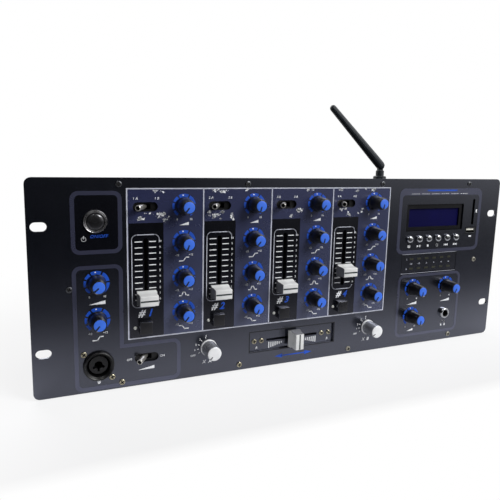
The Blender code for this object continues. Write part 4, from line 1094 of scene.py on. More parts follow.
def print_signs():
    """White signs and figures round the knobs, toggles and jacks."""
    shape = bmesh.new()
    for knob in CHANNEL_KNOBS + OTHER_KNOBS:
        place = middle_of(knob)
        x, z = place.x, place.z
        dot_x, dot_z = x + DOT_REACH * math.cos(DOT_TURN), z + DOT_REACH * math.sin(DOT_TURN)
        dot = circle(dot_x, dot_z, 0.6, 12)
        add_plate(shape, [dot], bottom=MARK_TOP - 0.01, top=MARK_TOP + 0.03)
        kind = knob.split("_")[0]
        tone = kind in ("high", "mid", "low") or "tone" in knob
        add_words(shape, "-12" if tone else "0", x - 6.0, z - 11.3, 1.7)
        add_words(shape, "+12" if tone else "10", x + 6.0, z - 11.4, 1.7)
        sign_z = z - 15.0
        if kind in ("high", "mid", "low"):
            add_curve_sign(shape, x, sign_z if kind != "low" else z - 14.2, kind)
        elif tone:
            add_curve_sign(shape, x, z - 16.0, "high")
        elif kind in ("mic", "phones", "master"):
            add_wedge(shape, x, z - 16.2, 13, 3.0)
        else:
            add_wedge(shape, x, sign_z, 8, 2.6)
    for knob in ASSIGN_KNOBS:
        place = middle_of(knob)
        x, z = place.x, place.z
        for words, dx, dz in (
            ("OFF", -14.3, -6.0), ("1", -12.6, -1.0), ("2", -11.6, 3.7), ("3", -8.0, 8.4),
            ("4", -2.4, 11.0),
        ):
            add_words(shape, words, x + dx, z + dz, 1.9)
        for turn in (205, 183, 160, 133, 106):
            at = arc(x, z, 9.0, turn, turn, 1)[0], arc(x, z, 10.2, turn, turn, 1)[0]
            add_stroke(shape, list(at), 0.5)
        words = "X  A" if x < 0 else "X  B"
        add_words(shape, words, x - 1.5, z - 13.0, 3.2, lean=0.25)
    for i in STRIPS:
        left = strip_left(i)
        add_words(shape, f"{i} A", left + 6.5, 71.7, 2.0, lean=0.2)
        add_words(shape, f"{i} B", left + 24.0, 71.7, 2.0, lean=0.2)
        add_bar(shape, left + 13.8, -43.4, 2.6, 0.7)
    add_words(shape, "OFF", -166.0, -64.5, 1.9)
    add_words(shape, "ON", -138.0, -64.5, 1.9)
    add_wedge(shape, -152.0, -73.5, 14, 2.8)
    # Power sign
    add_stroke(shape, arc(-200.0, 39.9, 1.7, 125, 415, 12), 0.45)
    add_stroke(shape, [(-200.0, 42.4), (-200.0, 40.2)], 0.45)
    # Microphone sign
    add_plate(shape, [rounded(-192.2, -82.0, -189.8, -78.4, 1.1, 4)], top=MARK_TOP)
    # Headphone sign
    add_stroke(shape, arc(175.1, -69.3, 2.6, 200, -20, 14), 0.8)
    add_bar(shape, 172.6, -71.2, 1.6, 2.8)
    add_bar(shape, 177.6, -71.2, 1.6, 2.8)
    # Card and stick signs
    add_plate(
        shape, [[(208.6, 52.4), (210.6, 52.4), (210.6, 55.6), (209.4, 55.6), (208.6, 54.8)]],
        top=MARK_TOP,
    )
    add_bar(shape, 203.4, 26.4, 3.6, 1.6)
    make_piece("white_signs", shape, "White print", sharp=0)


def print_player_signs():
    """The usual signs under the player's keys, and the rule over its display."""
    shape = bmesh.new()
    z = 18.5
    keys = [middle_of(node).x for node in PLAYER_BUTTONS]

    def triangle(x, way, size=1.2):
        add_plate(
            shape, [[(x - way * size, z - size), (x + way * size, z), (x - way * size, z + size)]],
            top=MARK_TOP,
        )

    for dz in (-0.9, 0, 0.9):
        add_bar(shape, keys[0], z + dz, 3.4, 0.45)
    triangle(keys[1] - 0.9, 1)
    add_bar(shape, keys[1] + 1.2, z, 0.5, 2.4)
    add_bar(shape, keys[1] + 2.2, z, 0.5, 2.4)
    add_bar(shape, keys[2], z, 2.2, 2.2)
    add_stroke(shape, arc(keys[3], z, 1.3, 30, 330, 10), 0.5)
    for key, way in ((keys[4], -1), (keys[5], 1)):
        triangle(key - 1.1, way)
        triangle(key + 1.1, way)
        add_bar(shape, key + way * 2.6, z, 0.5, 2.4)
    for step in range(30):
        if step % 5 != 4:
            add_bar(shape, 121.0 + 2.6 * step, 73.2, 1.7, 0.5)
    make_piece("player_signs", shape, "White print", sharp=0)


def add_speckle(shape, dice, x, z, size):
    """A small jagged blot."""
    corners = dice.randint(5, 8)
    loop = []
    for i in range(corners):
        turn = math.tau * i / corners
        reach = size / 2 * dice.uniform(0.45, 1.25)
        loop.append((x + reach * math.cos(turn) * 1.2, z + reach * math.sin(turn)))
    add_plate(shape, [loop], top=MARK_TOP)


SPECKLE_FIELDS = (
    # strip, left and right offset, bottom, top, clusters, blots
    (1, 21, 38, 76.3, 79.0, 4, 40), (2, 3, 41, 76.6, 79.0, 6, 60), (3, 30, 44, 76.8, 79.0, 3, 20),
    (4, 3, 47, 76.3, 79.0, 7, 80), (1, 4, 31, 52.6, 60.0, 7, 110), (2, 3, 28, 52.6, 60.0, 7, 100),
    (3, 16, 23, 53.5, 57.5, 2, 20), (3, 26, 32.5, 51.5, 61.0, 3, 60), (4, 8, 22, 52.5, 60.5, 4, 90),
    (4, 28, 35, 54, 60, 2, 16), (1, 29, 35, 51.0, 60.5, 2, 36),
)


def print_speckles():
    """White speckles over the slate fields, laid out from a fixed seed."""
    paint = settings().paint
    dice = random.Random(paint.speckle_seed)
    largest = paint.speckle_size * 1000
    shape = bmesh.new()
    for strip, near, far, low, high, clusters, blots in SPECKLE_FIELDS:
        left = strip_left(strip)
        centres = [
            (dice.uniform(near, far), dice.uniform(low, high), dice.uniform(0.4, 1))
            for _ in range(clusters)
        ]
        for _ in range(blots):
            x, z, wide = dice.choice(centres)
            x, z = x + dice.gauss(0, 1.9 * wide), z + dice.gauss(0, 1.2 * wide)
            size = SMALLEST_SPECKLE + (largest - SMALLEST_SPECKLE) * dice.random() ** 4
            if near < x < far and low < z < high:
                add_speckle(shape, dice, left + x, z, size)
    make_piece("white_speckles", shape, "White print", sharp=0)


# Knobs, as radius and height above the panel

KNOB_PROFILE = (
    (0, 15.3), (4.8, 15.3), (4.82, 16.1), (5.1, 16.3), (5.4, 16.2), (5.6, 15.8), (6.55, 7.0),
    (6.68, 4.4), (6.76, 3.4), (6.92, 2.7), (7.15, 2.25), (7.35, 1.9), (7.45, 1.4), (7.4, 0.5),
    (3.0, 0.5), (3.0, -4.7), (0, -4.7),
)
KNOB_CAP_PROFILE = (
    (0, 16.62), (2.5, 16.58), (4.2, 16.46), (4.6, 16.34), (4.72, 16.1), (4.72, 15.4), (0, 15.4),
)
SELECTOR_PROFILE = (
    (0, 17.4), (6.0, 17.4), (6.3, 17.2), (6.4, 16.7), (6.55, 15.0), (6.95, 3.0), (6.95, 2.4),
    (7.4, 2.1), (7.5, 1.7), (7.5, 0.5), (3.0, 0.5), (3.0, -4.7), (0, -4.7),
)
SELECTOR_TOP_PROFILE = (
    (0, 18.0), (4.8, 17.98), (5.7, 17.85), (6.1, 17.5), (6.15, 17.2), (0, 17.2),
)
SELECTOR_SIDES, SELECTOR_RIB_DEPTH = 72, 0.25


def rib(shape, sides, low, high, depth):
    """Draws in every other upright row of a turned shape between two heights."""
    for vert in shape.verts:
        out = -vert.co.y
        if low <= out <= high:
            turn = math.atan2(vert.co.z, vert.co.x)
            if round(turn / math.tau * sides) % 2:
                reach = math.hypot(vert.co.x, vert.co.z)
                if reach > depth:
                    share = (reach - depth) / reach
                    vert.co.x *= share
                    vert.co.z *= share


def make_knob(node):
    """A ribbed black knob with a blue cap and its pointer."""
    knobs = settings().knobs
    place = middle_of(node)
    sides = 2 * knobs.ribs
    shape = bmesh.new()
    add_turned(shape, KNOB_PROFILE, sides)
    bmesh.ops.remove_doubles(shape, verts=shape.verts, dist=TURNED_WELD)
    rib(shape, sides, 4.3, 15.2, knobs.rib_depth * 1000)
    bmesh.ops.translate(shape, vec=(place.x, 0, place.z), verts=shape.verts)
    make_piece(
        f"{node}_shell", shape, "Knob plastic", body=node, stands_for=(node,),
        sharp=50,
    )
    shape = bmesh.new()
    add_turned(shape, KNOB_CAP_PROFILE, 40)
    bmesh.ops.remove_doubles(shape, verts=shape.verts, dist=TURNED_WELD)
    before = set(shape.faces)
    half = knobs.pointer_width * 500
    add_plate(
        shape, [[(0.4, -half), (4.6, -half), (4.6, half), (0.4, half), (0.1, 0)]],
        bottom=16.2, top=16.7,
    )
    painted(shape, 1, before)
    stand(shape, place, Matrix.Rotation(-math.radians(POINTERS[node]), 4, "Y"))
    make_piece(
        f"{node}_cap", shape, ("Cap plastic", "Pointer ink"), body=node,
        sharp=30,
    )


def make_assign_knob(node):
    """A tall pale selector with a silver side."""
    place = middle_of(node)
    sides = SELECTOR_SIDES
    shape = bmesh.new()
    add_turned(shape, SELECTOR_PROFILE, sides)
    bmesh.ops.remove_doubles(shape, verts=shape.verts, dist=TURNED_WELD)
    rib(shape, sides, 2.9, 15.1, SELECTOR_RIB_DEPTH)
    for face in shape.faces:
        if 0 < -face.calc_center_median().y < 2.35:
            face.material_index = 1
    before = set(shape.faces)
    add_turned(shape, SELECTOR_TOP_PROFILE, 48)
    painted(shape, 1, before)
    before = set(shape.faces)
    add_plate(shape, [[(3.0, -0.45), (5.8, -0.45), (5.8, 0.45), (3.0, 0.45)]], 17.6, 18.05)
    painted(shape, 2, before)
    stand(shape, place, Matrix.Rotation(-math.radians(POINTERS[node]), 4, "Y"))
    make_piece(
        f"{node}_grip", shape, ("Selector side", "Selector top", "Pointer ink"), body=node,
        stands_for=(node,), sharp=40,
    )


# Faders

FADER_CAP_WIDTH = 16.3
# One half of the cap's side, as height above the panel and distance from its middle
FADER_SIDE = (
    (1.0, 5.9), (3.0, 5.9), (3.5, 5.75), (5.4, 5.0), (7.2, 4.72), (9.5, 4.62), (13.2, 4.35),
    (13.9, 4.15), (14.2, 3.8),
)
FADER_FACE = FADER_SIDE[-1][0]


def make_fader(node, upright):
    """A scooped slider cap with a dark line, on its flat stem."""
    faders = settings().faders
    place = middle_of(node)
    half = FADER_CAP_WIDTH / 2
    outline = [*FADER_SIDE, *((out, -z) for out, z in reversed(FADER_SIDE))]
    shape = bmesh.new()
    verts = [shape.verts.new((-half, -out, z)) for out, z in outline]
    end = shape.faces.new(verts)
    made = bmesh.ops.extrude_face_region(shape, geom=[end])["geom"]
    far = [item for item in made if isinstance(item, bmesh.types.BMVert)]
    bmesh.ops.translate(shape, vec=(2 * half, 0, 0), verts=far)
    ridge = [vert for vert in shape.verts if vert.co.y < -6]
    bmesh.ops.scale(shape, vec=(1 - 1.2 / (2 * half), 1, 1), verts=ridge)
    ends = [e for e in shape.edges if e.verts[0].co.x * e.verts[1].co.x > 0]
    bmesh.ops.bevel(
        shape, geom=ends, offset=faders.edge * 1000, affect="EDGES", segments=2, profile=0.5,
        material=-1,
    )
    shape.normal_update()
    # The cap's end faces get a darker finish of their own: painted shade
    for face in shape.faces:
        if abs(face.normal.x) > 0.7:
            face.material_index = 3
    before = set(shape.faces)
    reach, line = half * 0.93 - 0.35, faders.line_width * 500
    add_block(shape, (-reach, -FADER_FACE - 0.06, -line), (reach, 0.3 - FADER_FACE, line))
    painted(shape, 1, before)
    before = set(shape.faces)
    add_block(shape, (-0.8, -2.0, -2.2), (0.8, 7.2, 2.2))
    painted(shape, 2, before)
    turn = Matrix.Identity(4) if upright else Matrix.Rotation(math.pi / 2, 4, "Y")
    stand(shape, place, turn)
    looks = "Fader plastic", "Fader line", "Zinc-plated steel", "Shaded plastic"
    make_piece(
        f"{node}_cap", shape, looks, body=node, stands_for=(node,), sharp=28,
    )


# Toggles and keys

TOGGLE_LEAN = math.radians(29.7)
TOGGLE_PIVOT = 5.0
TOGGLE_STAND = 9.0


def make_toggle(node, x, z):
    """A plated lever with a hollow end, leaning to the left on its ball."""
    reach = (TOGGLE_PIVOT + TOGGLE_STAND) / math.cos(TOGGLE_LEAN)
    shape = bmesh.new()
    add_turned(shape, [
        (0, -2.0), (1.0, -1.73), (1.73, -1.0), (2.0, 0), (1.8, 0.9), (1.45, 1.5),
        (1.45, reach - 12.0), (2.1, reach - 12.0), (2.32, reach - 11.8), (2.35, reach - 0.7),
        (2.25, reach - 0.3), (2.0, reach - 0.1), (1.75, reach - 0.15), (1.6, reach - 0.4),
    ], 32)
    # The inside of the lever's hollow end is painted near black as shade
    before = set(shape.faces)
    add_turned(shape, [(1.6, reach - 0.4), (1.5, reach - 2.0), (0, reach - 2.0)], 32)
    painted(shape, 1, before)
    turn = Matrix.Translation((x, TOGGLE_PIVOT, z)) @ Matrix.Rotation(-TOGGLE_LEAN, 4, "Z")
    bmesh.ops.transform(shape, matrix=turn, verts=shape.verts)
    make_piece(
        f"{node}_lever", shape, ("Satin nickel", "Dark hollow"), body=node,
        stands_for=(node,), sharp=40,
    )


def make_round_button(node, look, radius, rise, tail, sides):
    """A crowned round key."""
    place = middle_of(node)
    shape = bmesh.new()
    add_turned(shape, [
        (0, rise), (radius * 0.45, rise - 0.08), (radius * 0.75, rise - 0.3),
        (radius * 0.92, rise - 0.75), (radius, rise - 1.4), (radius, -tail), (0, -tail),
    ], sides, place.x, place.z)
    make_piece(
        f"{node}_key", shape, look, body=node, stands_for=(node,), sharp=40,
    )


def make_square_key(node):
    """A square key with a dull face, and its sides painted glossy near black as shade."""
    low, high = box_of(node)
    shape = bmesh.new()
    add_block(shape, low, high)
    rim = [edge for edge in shape.edges if min(vert.co.y for vert in edge.verts) < low.y + 0.1]
    bmesh.ops.bevel(
        shape, geom=rim, offset=0.4, affect="EDGES", segments=3, profile=0.5, material=-1,
    )
    shape.normal_update()
    # Every face but the front takes the near-black finish: painted shade on the key's sides
    for face in shape.faces:
        if face.normal.y > -0.9:
            face.material_index = 1
    make_piece(
        f"{node}_key", shape, ("Key plastic", "Meter window"), body=node,
        stands_for=(node,), sharp=40,
    )


def make_keys():
    make_round_button(
        "power_button", "Dark plating", radius=6.6, rise=4.2, tail=2.6, sides=56,
    )
    for node in PLAYER_BUTTONS:
        make_round_button(
            node, "Bright plating", radius=3.6, rise=3.0, tail=3.2, sides=40,
        )
    for node in CUE_BUTTONS:
        make_square_key(node)


# Jacks and the power switch

def make_power_switch():
    place = middle_of("power_switch")
    shape = bmesh.new()
    add_turned(shape, [
        (6.95, -6.4), (6.95, 1.7), (7.05, 2.2), (7.3, 2.55), (7.6, 2.62), (7.85, 2.4), (8.0, 1.9),
        (8.25, 1.7), (8.5, 1.95), (8.75, 2.05), (9.05, 1.8), (9.25, 1.3), (9.3, 0.7), (9.3, 0.02),
        (7.9, 0.02), (7.9, -26), (0, -26), (0, -6.4), (6.95, -6.4),
    ], 64, place.x, place.z)
    make_piece(
        "power_ring", shape, "Dull nickel", stands_for=("power_switch",),
        sharp=40,
    )


def clover(radius, sides=180):
    """The opening of the jack's core: a round hole that runs into three pin holes."""
    loop = []
    for i in range(sides):
        turn = math.tau * i / sides
        reach = radius
        for pin, away, size in ((206, 4.1, 1.2), (334, 4.1, 1.2), (270, 4.6, 1.0)):
            off = turn - math.radians(pin)
            square = size ** 2 - (away * math.sin(off)) ** 2
            if square > 0 and math.cos(off) > 0:
                reach = max(reach, away * math.cos(off) + math.sqrt(square))
        loop.append((reach * math.cos(turn), reach * math.sin(turn)))
    return loop


def make_mic_jack():
    """The microphone jack: its collar, its ring-shaped gap and its keyed core."""
    place = middle_of("mic_jack")
    x, z = place.x, place.z
    shape = bmesh.new()
    add_turned(shape, [
        (12.3, -2.3), (12.3, 2.4), (12.15, 2.9), (11.7, 3.3), (11.2, 3.4), (10.8, 3.2),
        (10.4, 2.6), (9.8, 2.1), (9.4, 1.6), (9.4, -13.0), (12.3, -13.0), (12.3, -2.3),
    ], 72, x, z)
    add_plate(shape, [circle(0, 0, 7.6, 72), clover(3.3)], -13.0, -1.0)
    moved = [v for v in shape.verts if math.hypot(v.co.x, v.co.z) < 8]
    bmesh.ops.translate(shape, vec=(x, 0, z), verts=moved)
    for turn in (90, 210, 330):
        px, pz = arc(x, z, 10.4, turn, turn, 1)[0]
        add_turned(shape, [(0, 3.1), (0.5, 3.0), (0.5, 2.0), (0, 2.0)], 12, px, pz)
    make_piece("mic_jack_collar", shape, "Jack plastic")
    shape = bmesh.new()
    add_plate(
        shape,
        [rounded(x - 14.2, z - 14.2, x + 14.2, z + 14.2, 2, 4), circle(x, z, 12.25, 72)],
        -4.3, -2.3,
    )
    add_turned(shape, [(12.2, -4.3), (12.2, -30), (0, -30), (0, -27), (12.2, -27)], 40, x, z)
    make_piece(
        "mic_jack_body", shape, "Jack plastic", stands_for=("mic_jack",),
    )


def make_phones_jack():
    place = middle_of("phones_jack")
    x, z = place.x, PHONES_Z
    shape = bmesh.new()
    add_turned(shape, [
        (3.6, -2.2), (3.6, 3.0), (3.8, 3.4), (4.3, 3.55), (4.9, 3.5), (5.4, 3.2), (5.7, 2.6),
        (5.8, 1.9), (5.8, 0.02), (4.4, 0.02), (4.4, -2.2), (3.6, -2.2),
    ], 64, x, z)
    before = set(shape.faces)
    add_turned(shape, [
        (3.58, 2.2), (3.4, 2.2), (3.4, -20.0), (0, -20.0), (0, -21.4), (4.5, -21.4), (4.5, -2.3),
        (3.58, -2.3), (3.58, 2.2),
    ], 48, x, z)
    add_plate(
        shape, [rectangle(x - 7, z - 7, x + 7, z + 7), circle(x, z, 4.4, 48)], -20.0, -2.35,
    )
    painted(shape, 1, before)
    make_piece(
        "phones_nut", shape, ("Bright plating", "Jack plastic"),
        stands_for=("phones_jack",), sharp=40,
    )


# Player

DISPLAY_GLASS = (119.5, 38.6, 186.5, 57.6)
STICK_PORT = (203.4, 32.8)


def make_player():
    """The display in its window, and the stick port's shell and tongue."""
    low, high = box_of("display_window")
    shape = bmesh.new()
    window = grown((low.x, low.z, high.x, high.z), -0.1)
    add_plate(shape, [rounded(*window, 0.8, 3), rounded(*DISPLAY_GLASS, 0.4, 2)], -3.2, -1.4)
    before = set(shape.faces)
    add_plate(shape, [rectangle(*grown(DISPLAY_GLASS, 1))], -4.6, -3.0)
    painted(shape, 1, before)
    make_piece(
        "display", shape, ("Smoked window", "Display glass"),
        stands_for=("display_window",), sharp=0,
    )
    x, z = STICK_PORT
    shape = bmesh.new()
    add_plate(
        shape,
        [rounded(x - 6.5, z - 2.9, x + 6.5, z + 2.9, 0.8, 3),
         rounded(x - 5.95, z - 2.35, x + 5.95, z + 2.35, 0.5, 3)],
        -12.0, 0.05,
    )
    make_piece("stick_port_shell", shape, "Zinc-plated steel")
    shape = bmesh.new()
    add_block(shape, (x - 5.5, 0.9, z + 0.2), (x + 5.5, 12.0, z + 2.05))
    make_piece("stick_port_tongue", shape, "White plastic")
    dress("player_module", "Jack plastic")


# Level meter

def make_meter():
    """The smoked window of the level meter, its lamps and its numbers."""
    shape = bmesh.new()
    add_plate(shape, [rounded(113.2, -9.6, 185.8, 9.6, 0.6, 3)], -0.45, -0.1)
    make_piece("meter_window", shape, "Meter window", sharp=0)
    shape = bmesh.new()
    for i in range(LAMP_COUNT):
        for z in LAMP_ROWS:
            x = LAMP_LEFT + LAMP_PITCH * i
            add_plate(shape, [rounded(x - 2.4, z - 1.0, x + 2.4, z + 1.0, 0.3, 2)], -0.12, 0.12)
    make_piece("meter_lamps", shape, "Lamp lens", sharp=0)
    shape = bmesh.new()
    for i, words in enumerate(("-20", "-10", "-5", "0", "+3", "+6")):
        add_words(shape, words, LAMP_LEFT + LAMP_PITCH * i, -0.1, 1.7, bottom=-0.12, top=-0.02)
    for words, z in zip("LR", LAMP_ROWS):
        add_words(shape, words, 119.6, z, 1.7, bottom=-0.12, top=-0.02)
    for z in (10.3, -10.3):
        add_bar(shape, 149.5, z, 73.0, 0.3, top=LINE_TOP)
    make_piece("meter_print", shape, "Line print", sharp=0)
    shape = bmesh.new()
    for i in STRIPS:
        x, z = strip_left(i) + 5.4, -37.3
        add_turned(shape, [
            (0, 1.25), (0.6, 1.15), (1.1, 0.85), (1.4, 0.4), (1.5, 0.0), (1.5, -0.3), (0, -0.3),
        ], 24, x, z)
    make_piece("cue_lamps", shape, "Clear lamp")


# Screws

SCREW_RISE, RECESS_DEPTH = 0.95, 0.6


def add_screw(shape, x, z, radius, out=0.0, turn=0.0):
    """A low round head with a cross recess whose walls and floor are painted near black as shade.
    """
    arm, half = radius * 0.7, radius * 0.2
    cross = [
        (arm, -half), (arm, half), (half, half), (half, arm), (-half, arm), (-half, half),
        (-arm, half), (-arm, -half), (-half, -half), (-half, -arm), (half, -arm), (half, -half),
    ]
    cos, sin = math.cos(turn), math.sin(turn)
    cross = [(x + a * cos - b * sin, z + a * sin + b * cos) for a, b in cross]
    edges = []
    for loop in (circle(x, z, radius * 0.8, 24), cross):
        verts = [shape.verts.new((a, -out - SCREW_RISE, b)) for a, b in loop]
        rim = [shape.edges.new(pair) for pair in zip(verts, verts[1:] + verts[:1])]
        edges += rim
    bmesh.ops.triangle_fill(shape, use_beauty=True, use_dissolve=False, edges=edges)
    before = set(shape.faces)
    made = bmesh.ops.extrude_edge_only(shape, edges=rim)["geom"]
    sunk = [item for item in made if isinstance(item, bmesh.types.BMVert)]
    bmesh.ops.translate(shape, vec=(0, RECESS_DEPTH, 0), verts=sunk)
    floor = [item for item in made if isinstance(item, bmesh.types.BMEdge)
             and all(vert in sunk for vert in item.verts)]
    bmesh.ops.triangle_fill(shape, use_beauty=True, use_dissolve=False, edges=floor)
    # The recess's walls and floor: painted shade
    painted(shape, 1, before)
    add_turned(shape, [
        (radius * 0.8, out + SCREW_RISE), (radius * 0.92, out + 0.8), (radius, out + 0.5),
        (radius, out + 0.02), (0, out + 0.02),
    ], 24, x, z)


SCREWS = (
    # piece, finish, the first one's turn, the turn from one to the next, and places on the panel
    ("panel_screws", "Zinc-plated steel", 0.0, 0.7, (
        (-172.4, 83.4), (-61.3, 83.4), (82.9, 83.4), (196.2, 83.4), (-212.0, 0.0),
    )),
    ("pale_screws", "Pale zinc", 0.3, 1.0, ((52.5, -83.4), (183.8, -83.4), (212.0, 0.0))),
    ("yellow_screws", "Yellow zinc", 0.5, 1.0, (
        (-172.3, -83.4), (-66.2, -83.4), (-202.4, -55.3), (-180.3, -77.5),
    )),
)
PLATE_SCREWS, PLATE_SCREW_Z, PLATE_SCREW_RADIUS = (-50.8, -43.3, 21.6, 29.6), -63.8, 2.4


def make_screw_piece(name, shape, look):
    # The second finish is the painted shade in the screws' cross recesses
    make_piece(name, shape, (look, "Dark hollow"), sharp=40)


def make_screws():
    """The panel's screws, and those of the sunk plate round the crossfader."""
    radius = settings().metal.screw_radius * 1000
    for name, look, first, step, places in SCREWS:
        shape = bmesh.new()
        for i, (x, z) in enumerate(places):
            add_screw(shape, x, z, radius, turn=first + step * i)
        if name == "yellow_screws":
            for i, x in enumerate(PLATE_SCREWS):
                add_screw(shape, x, PLATE_SCREW_Z, PLATE_SCREW_RADIUS, out=-2.3, turn=0.4 * i)
        make_screw_piece(name, shape, look)


# Case

CASE_SCREW_RADIUS = 3.0


def add_set_screw(shape, matrix, radius):
    """A screw made at the drawing's middle and put in its place."""
    made = bmesh.new()
    add_screw(made, 0, 0, radius)
    bmesh.ops.transform(made, matrix=matrix, verts=made.verts)
    part = bpy.data.meshes.new("screw")
    made.to_mesh(part)
    made.free()
    shape.from_mesh(part)
    bpy.data.meshes.remove(part)


def make_case():
    """Finishes of the case, and its cover's screws."""
    dress("chassis_tray", "Powder coat")
    dress("top_cover", "Powder coat")
    low, high = box_of("top_cover")
    points = [UNDRAWING @ v.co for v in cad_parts["top_cover"].data.vertices]
    sheet_top = max(point.z for point in points if point.y > high.y - 2)
    shape = bmesh.new()
    for x in (low.x + 9, (low.x + high.x) / 2, high.x - 9):
        for y in (low.y + 12, high.y - 9):
            upright = Matrix.Translation((x, y, sheet_top)) @ Matrix.Rotation(-math.pi / 2, 4, "X")
            add_set_screw(shape, upright, CASE_SCREW_RADIUS)
    make_screw_piece("cover_screws", shape, "Zinc-plated steel")


# Back

SOCKET_PITCH_X, SOCKET_PITCH_Z, SOCKET_COLUMNS = 24.0, 17.0, 10
CASE_BACK = 98.0


def make_back():
    """The pin sockets with their coloured rings, and the mains inlet's pins."""
    low, high = box_of("rear_socket_block")
    centre_x, centre_z = (low.x + high.x) / 2, (low.z + high.z) / 2
    wall, tip = CASE_BACK, high.y
    half_row = (SOCKET_COLUMNS - 1) / 2
    places = [
        (centre_x + SOCKET_PITCH_X * (i - half_row), centre_z + side * SOCKET_PITCH_Z / 2)
        for i in range(SOCKET_COLUMNS) for side in (-1, 1)
    ]
    shape = bmesh.new()
    add_block(shape, (low.x, low.y, low.z), (high.x, wall - 1.5, high.z))
    make_piece(
        "socket_strip", shape, "Jack plastic",
        stands_for=("rear_socket_block",), sharp=0,
    )
    shape = bmesh.new()
    for x, z in places:
        add_turned(shape, [
            (3.6, -wall + 1), (3.6, -tip), (4.15, -tip), (4.2, -tip + 0.3), (4.2, -wall - 2.2),
            (5.3, -wall - 2.0), (5.3, -wall - 0.1), (3.6, -wall + 1),
        ], 28, x, z)
    make_piece("socket_shells", shape, "Bright plating")
    for name, row in (("red", 0), ("white", 1)):
        shape = bmesh.new()
        for x, z in places[row::2]:
            add_turned(shape, [
                (3.58, -wall), (3.58, -tip + 0.6), (2.2, -tip + 0.6), (1.9, -tip + 1.2),
                (1.7, -wall),
            ], 24, x, z)
        make_piece(
            f"socket_rings_{name}", shape, f"{name.title()} plastic",
        )
    case_low, case_high = box_of("chassis_tray")
    half_turn = Matrix.Translation((0, wall, 0)) @ Matrix.Rotation(math.pi, 4, "Z")
    shape = bmesh.new()
    left, middle, right = case_low.x + 9, (case_low.x + case_high.x) / 2, case_high.x - 9
    foot, head = case_low.z + 14, 68
    for x, z in ((left, foot), (middle, foot), (right, foot), (left, head), (right, head)):
        add_set_screw(shape, half_turn @ Matrix.Translation((-x, 0, z)), CASE_SCREW_RADIUS)
    make_screw_piece("back_screws", shape, "Zinc-plated steel")
    shape = bmesh.new()
    group = (-high.x - 2, low.z - 2, -low.x + 2, high.z + 9)
    add_outline(shape, rounded(*group, 2.0), rounded(*grown(group, -0.5), 1.5))
    for i in range(SOCKET_COLUMNS):
        x = -centre_x + SOCKET_PITCH_X * (half_row - i)
        add_words(shape, str(i + 1), x, high.z + 4.5, 4.0)
    bmesh.ops.transform(shape, matrix=half_turn, verts=shape.verts)
    make_piece("back_print", shape, "White print", sharp=0)
    dress("mains_inlet", "Jack plastic")
    low, high = box_of("mains_inlet")
    x, z = (low.x + high.x) / 2, (low.z + high.z) / 2
    shape = bmesh.new()
    for dx, dz in ((-7, -2.0), (7, -2.0), (0, 3.0)):
        pin_x, pin_z = x + dx, z + dz
        add_block(
            shape, (pin_x - 1.0, high.y - 15, pin_z - 2.2), (pin_x + 1.0, high.y - 3, pin_z + 2.2),
        )
    make_piece("inlet_pins", shape, "Zinc-plated steel", sharp=0)


# Antenna

def make_antenna():
    for node in ("antenna_base", "antenna_collar", "antenna_rod"):
        dress(node, "Antenna plastic")


# Operators

class MIXER_OT_stage(bpy.types.Operator):
    """Camera, lights, floor and background"""
    bl_idname = "mixer.stage"
    bl_label = "Stage"

    def execute(self, context):
        context.scene.view_settings.view_transform = "Standard"
        make_camera()
        make_floor()
        make_world()
        for name, place, target, size, power in LAMPS:
            make_lamp(name, place, target, size, getattr(settings().stage, power))
        return {"FINISHED"}


class MIXER_OT_panel(bpy.types.Operator):
    """Paint of the panel, and the circuit boards behind it"""
    bl_idname = "mixer.panel"
    bl_label = "Panel and boards"

    def execute(self, context):
        dress("front_panel", "Panel paint")
        dress("crossfader_plate", "Panel paint")
        blacken_board_bodies()
        dress("control_board", "Control board")
        dress("power_supply", "Board mask")
        return {"FINISHED"}


class MIXER_OT_fields(bpy.types.Operator):
    """Slate fields, black columns and broad outlines"""
    bl_idname = "mixer.fields"
    bl_label = "Fields and frames"

    def execute(self, context):
        print_fields()
        print_frames()
        return {"FINISHED"}


class MIXER_OT_scales(bpy.types.Operator):
    """Thin lines, fader scales and their numbers"""
    bl_idname = "mixer.scales"
    bl_label = "Lines and scales"

    def execute(self, context):
        print_lines()
        print_scales()
        return {"FINISHED"}


class MIXER_OT_marks(bpy.types.Operator):
    """Blue rings, white signs and white speckles"""
    bl_idname = "mixer.marks"
    bl_label = "Rings, signs and speckles"

    def execute(self, context):
        print_rings()
        print_signs()
        print_player_signs()
        print_speckles()
        return {"FINISHED"}


class MIXER_OT_knobs(bpy.types.Operator):
    """Black knobs with blue caps, and the two pale selectors"""
    bl_idname = "mixer.knobs"
    bl_label = "Knobs"

    def execute(self, context):
        for node in CHANNEL_KNOBS + OTHER_KNOBS:
            make_knob(node)
        for node in ASSIGN_KNOBS:
            make_assign_knob(node)
        return {"FINISHED"}


class MIXER_OT_faders(bpy.types.Operator):
    """Slider caps of the four channels and of the crossfader"""
    bl_idname = "mixer.faders"
    bl_label = "Faders"

    def execute(self, context):
        for node in CHANNEL_FADERS:
            make_fader(node, upright=True)
        make_fader("crossfader", upright=False)
        return {"FINISHED"}


class MIXER_OT_switches(bpy.types.Operator):
    """Toggle levers, round keys, square keys and the power switch"""
    bl_idname = "mixer.switches"
    bl_label = "Switches and keys"

    def execute(self, context):
        for i, node in zip(STRIPS, INPUT_TOGGLES):
            make_toggle(node, *toggle_place(i))
        make_toggle("talkover_toggle", toggle_place(1)[0], TALKOVER_Z)
        make_keys()
        make_power_switch()
        return {"FINISHED"}


class MIXER_OT_jacks(bpy.types.Operator):
    """Microphone and headphone jacks"""
    bl_idname = "mixer.jacks"
    bl_label = "Jacks"

    def execute(self, context):
        make_mic_jack()
        make_phones_jack()
        return {"FINISHED"}


class MIXER_OT_player(bpy.types.Operator):
    """Display, stick port and level meter"""
    bl_idname = "mixer.player"
    bl_label = "Player and meter"

    def execute(self, context):
        make_player()
        make_meter()
        return {"FINISHED"}


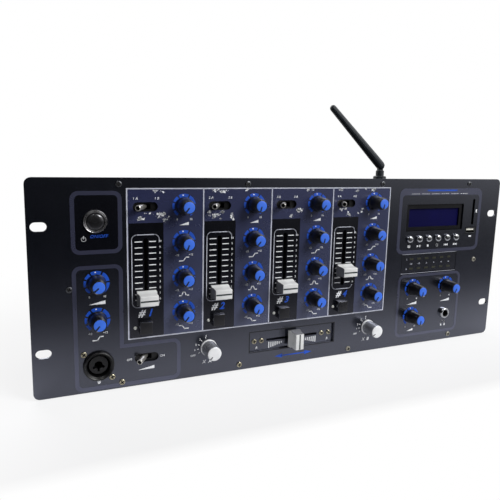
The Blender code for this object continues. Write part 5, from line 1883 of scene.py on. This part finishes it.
class MIXER_OT_case(bpy.types.Operator):
    """Case, screws, rear sockets and mains inlet"""
    bl_idname = "mixer.case"
    bl_label = "Case, screws and back"

    def execute(self, context):
        make_screws()
        make_case()
        make_back()
        return {"FINISHED"}


class MIXER_OT_antenna(bpy.types.Operator):
    """Antenna with its base and collar"""
    bl_idname = "mixer.antenna"
    bl_label = "Antenna"

    def execute(self, context):
        make_antenna()
        return {"FINISHED"}


STEPS = (
    MIXER_OT_stage, MIXER_OT_panel, MIXER_OT_fields, MIXER_OT_scales, MIXER_OT_marks,
    MIXER_OT_knobs, MIXER_OT_faders, MIXER_OT_switches, MIXER_OT_jacks, MIXER_OT_player,
    MIXER_OT_case, MIXER_OT_antenna,
)


class MIXER_PT_looks(bpy.types.Panel):
    """Lists the steps that dress the mixer, and their settings"""
    bl_idname = "MIXER_PT_looks"
    bl_label = "Mixer"
    bl_space_type = "VIEW_3D"
    bl_region_type = "UI"
    bl_category = "Mixer"

    def draw(self, context):
        layout = self.layout
        for step in STEPS:
            layout.operator(step.bl_idname)
        looks = context.scene.mixer_settings
        for group in (
            looks.stage, looks.paint, looks.knobs, looks.faders, looks.metal, looks.plastic,
        ):
            box = layout.box()
            for name in group.__annotations__:
                box.prop(group, name)


CLASSES = (
    MixerPaintSettings, MixerKnobSettings, MixerFaderSettings, MixerMetalSettings,
    MixerPlasticSettings, MixerStageSettings, MixerSettings, *STEPS, MIXER_PT_looks,
)


def register():
    for kind in CLASSES:
        bpy.utils.register_class(kind)
    bpy.types.Scene.mixer_settings = PointerProperty(type=MixerSettings)


def unregister():
    del bpy.types.Scene.mixer_settings
    for kind in reversed(CLASSES):
        bpy.utils.unregister_class(kind)


def main():
    register()
    bpy.ops.mixer.stage()
    bpy.ops.mixer.panel()
    bpy.ops.mixer.fields()
    bpy.ops.mixer.scales()
    bpy.ops.mixer.marks()
    bpy.ops.mixer.knobs()
    bpy.ops.mixer.faders()
    bpy.ops.mixer.switches()
    bpy.ops.mixer.jacks()
    bpy.ops.mixer.player()
    bpy.ops.mixer.case()
    bpy.ops.mixer.antenna()


if __name__ == "__main__":
    main()
